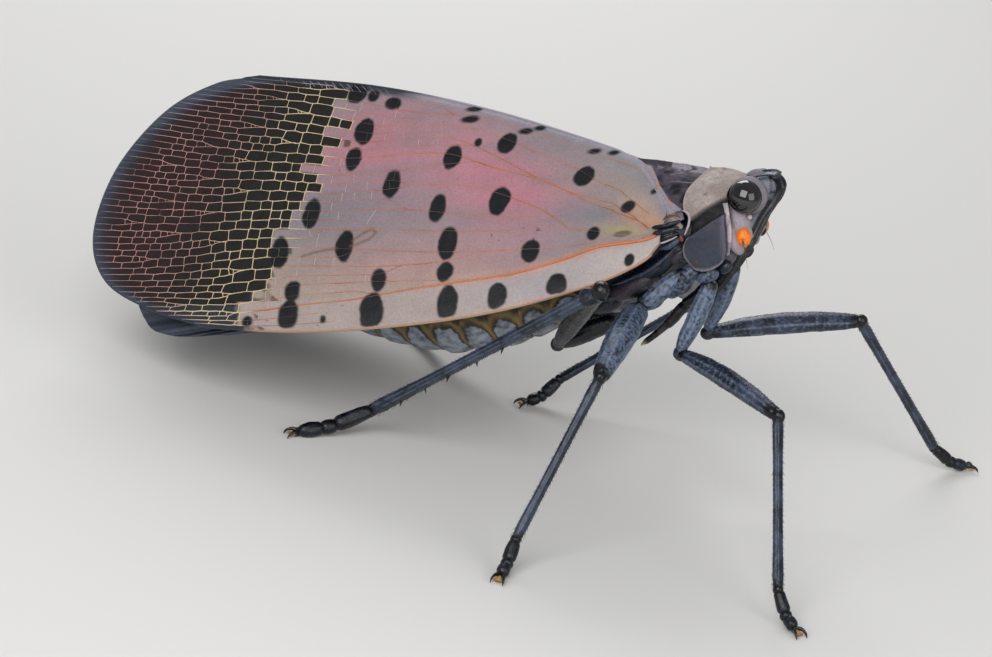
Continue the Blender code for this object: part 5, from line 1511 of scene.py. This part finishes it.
def make_feeler(word, side):
    """The swollen orange joint, pitted, with its bristle."""
    skin = Skin(f"feeler_{word}", [antenna_look])
    flip = np.array((1, side, 1))
    centre = PEDICEL_AT * flip
    points = centre + ball(64, 80)[..., (1, 0, 2)] * PEDICEL_RADII
    pits = ease(noise(points, 0.05, 151), 0.62, 0.8)
    dimple = bump(np.linalg.norm(points - centre - DIMPLE_AT * flip, axis=-1), 0.0, 0.06)
    points = centre + (points - centre) * (1 - 0.05 * pits - 0.2 * dimple)[..., None]
    skin.tube(from_body(points), mix(tint("f07f22"), tint("c25a14"), np.clip(0.5 * pits + dimple, 0, 1)))
    size = np.interp(np.linspace(0, 1, 30), [0, 0.1, 0.2, 1], [0.04, 0.035, 0.011, 0.004])
    bristle = smooth(centre + BRISTLE * flip, 30)
    skin.tube(from_body(sweep(bristle, size, size, (1, 0, 0), 8)), BODY["rust"])
    skin.make("antenna", f"antenna_{word}")


def make_body():
    """The one skin of body, head and legs, then claws, eyes and feelers."""
    skin = Skin("body_skin", [cuticle_look, glossy_look, shield_look, belly_look])
    for add in (add_thorax, add_abdomen, add_side_plates, add_mesonotum, add_pronotum, add_head, add_rostrum):
        add(skin)
    covered = ["head", "pronotum", "mesonotum", "rostrum", "thorax", "abdomen_front", "abdomen_middle",
               "abdomen_tip"]
    feet = []
    for number, (leg, word) in enumerate(LEGS):
        rest, along = add_leg(skin, leg, word, SIDES[word], 10 * number + 200)
        feet.append((f"claws_{leg}_{word}", rest, along))
        covered += [f"{part}_{leg}_{word}" for part in ("coxa", "femur", "tibia", "tarsus")]
    covered += ["tegula_right", "tegula_left"]
    skin.make("body", *covered)
    for name, rest, along in feet:
        make_claws(name, rest, along, "leg")
    for word, side in SIDES.items():
        make_eye(word, side)
        make_feeler(word, side)


make_body()


# Setting

# The floor's side is in metres, the camera's target and distance are in millimetres.
FLOOR_SIZE = 0.6
CAMERA_TURN, CAMERA_RISE, CAMERA_ROLL = math.radians(16.0), math.radians(22.0), math.radians(10.0)
CAMERA_TARGET = (0.0, 0.0, 3.6)
CAMERA_DISTANCE = 130.0
FRAME_WIDTH = 992
FOCAL_PIXELS = 3900.0
SENSOR = 36.0
# Soft lights as (name, place, side), in millimetres, and power in watts; and where they aim.
LIGHTS = [("key", (-5, -95, 75), 90, 0.1), ("fill", (85, -50, 45), 70, 0.03),
          ("back", (-40, 80, 70), 60, 0.05)]
LIGHT_TARGET = (0, 0, 4)


def make_floor():
    """A plain pale square, far wider than the view."""
    mesh = bpy.data.meshes.new("floor")
    half = FLOOR_SIZE / 2
    corners = [(-half, -half, 0), (half, -half, 0), (half, half, 0), (-half, half, 0)]
    mesh.from_pydata(corners, [], [(0, 1, 2, 3)])
    floor = bpy.data.objects.new("floor", mesh)
    bpy.context.scene.collection.objects.link(floor)
    made = bpy.data.materials.new("pale_floor")
    made.use_nodes = True
    shader = made.node_tree.nodes["Principled BSDF"]
    shader.inputs["Base Color"].default_value = (0.72, 0.71, 0.69, 1.0)
    shader.inputs["Roughness"].default_value = 0.8
    floor.data.materials.append(made)


def add_light(name, place, size, power):
    """A soft square light that faces the insect."""
    data = bpy.data.lights.new(name, "AREA")
    data.size = size * MM
    data.energy = power
    light = bpy.data.objects.new(name, data)
    light.location = Vector(place) * MM
    aim = (Vector(LIGHT_TARGET) * MM - light.location).to_track_quat("-Z", "Y")
    light.rotation_euler = aim.to_euler()
    bpy.context.scene.collection.objects.link(light)


def make_camera():
    """The camera of the photo's view, rolled about its own line of sight."""
    turn, rise = CAMERA_TURN, CAMERA_RISE
    back = Vector((math.cos(rise) * math.sin(turn), -math.cos(rise) * math.cos(turn), math.sin(rise)))
    level = Vector((math.cos(turn), math.sin(turn), 0.0))
    up = back.cross(level)
    right = level * math.cos(CAMERA_ROLL) + up * math.sin(CAMERA_ROLL)
    top = up * math.cos(CAMERA_ROLL) - level * math.sin(CAMERA_ROLL)
    data = bpy.data.cameras.new("camera")
    data.sensor_width = SENSOR
    data.lens = SENSOR * FOCAL_PIXELS / FRAME_WIDTH
    data.clip_start = 0.001
    camera = bpy.data.objects.new("camera", data)
    place = (Vector(CAMERA_TARGET) + back * CAMERA_DISTANCE + Vector(SHIFT)) * MM
    frame_axes = Matrix((right, top, back)).transposed()
    camera.matrix_world = Matrix.Translation(place) @ frame_axes.to_4x4()
    bpy.context.scene.collection.objects.link(camera)
    bpy.context.scene.camera = camera


def light_room():
    """A dim, cool surrounding light and the three soft ones."""
    world = bpy.data.worlds.new("studio")
    world.use_nodes = True
    background = world.node_tree.nodes["Background"]
    background.inputs["Color"].default_value = (0.95, 0.97, 1.0, 1.0)
    background.inputs["Strength"].default_value = 0.33
    bpy.context.scene.world = world
    bpy.context.scene.view_settings.view_transform = "Standard"
    for light in LIGHTS:
        add_light(*light)


make_floor()
make_camera()
light_room()
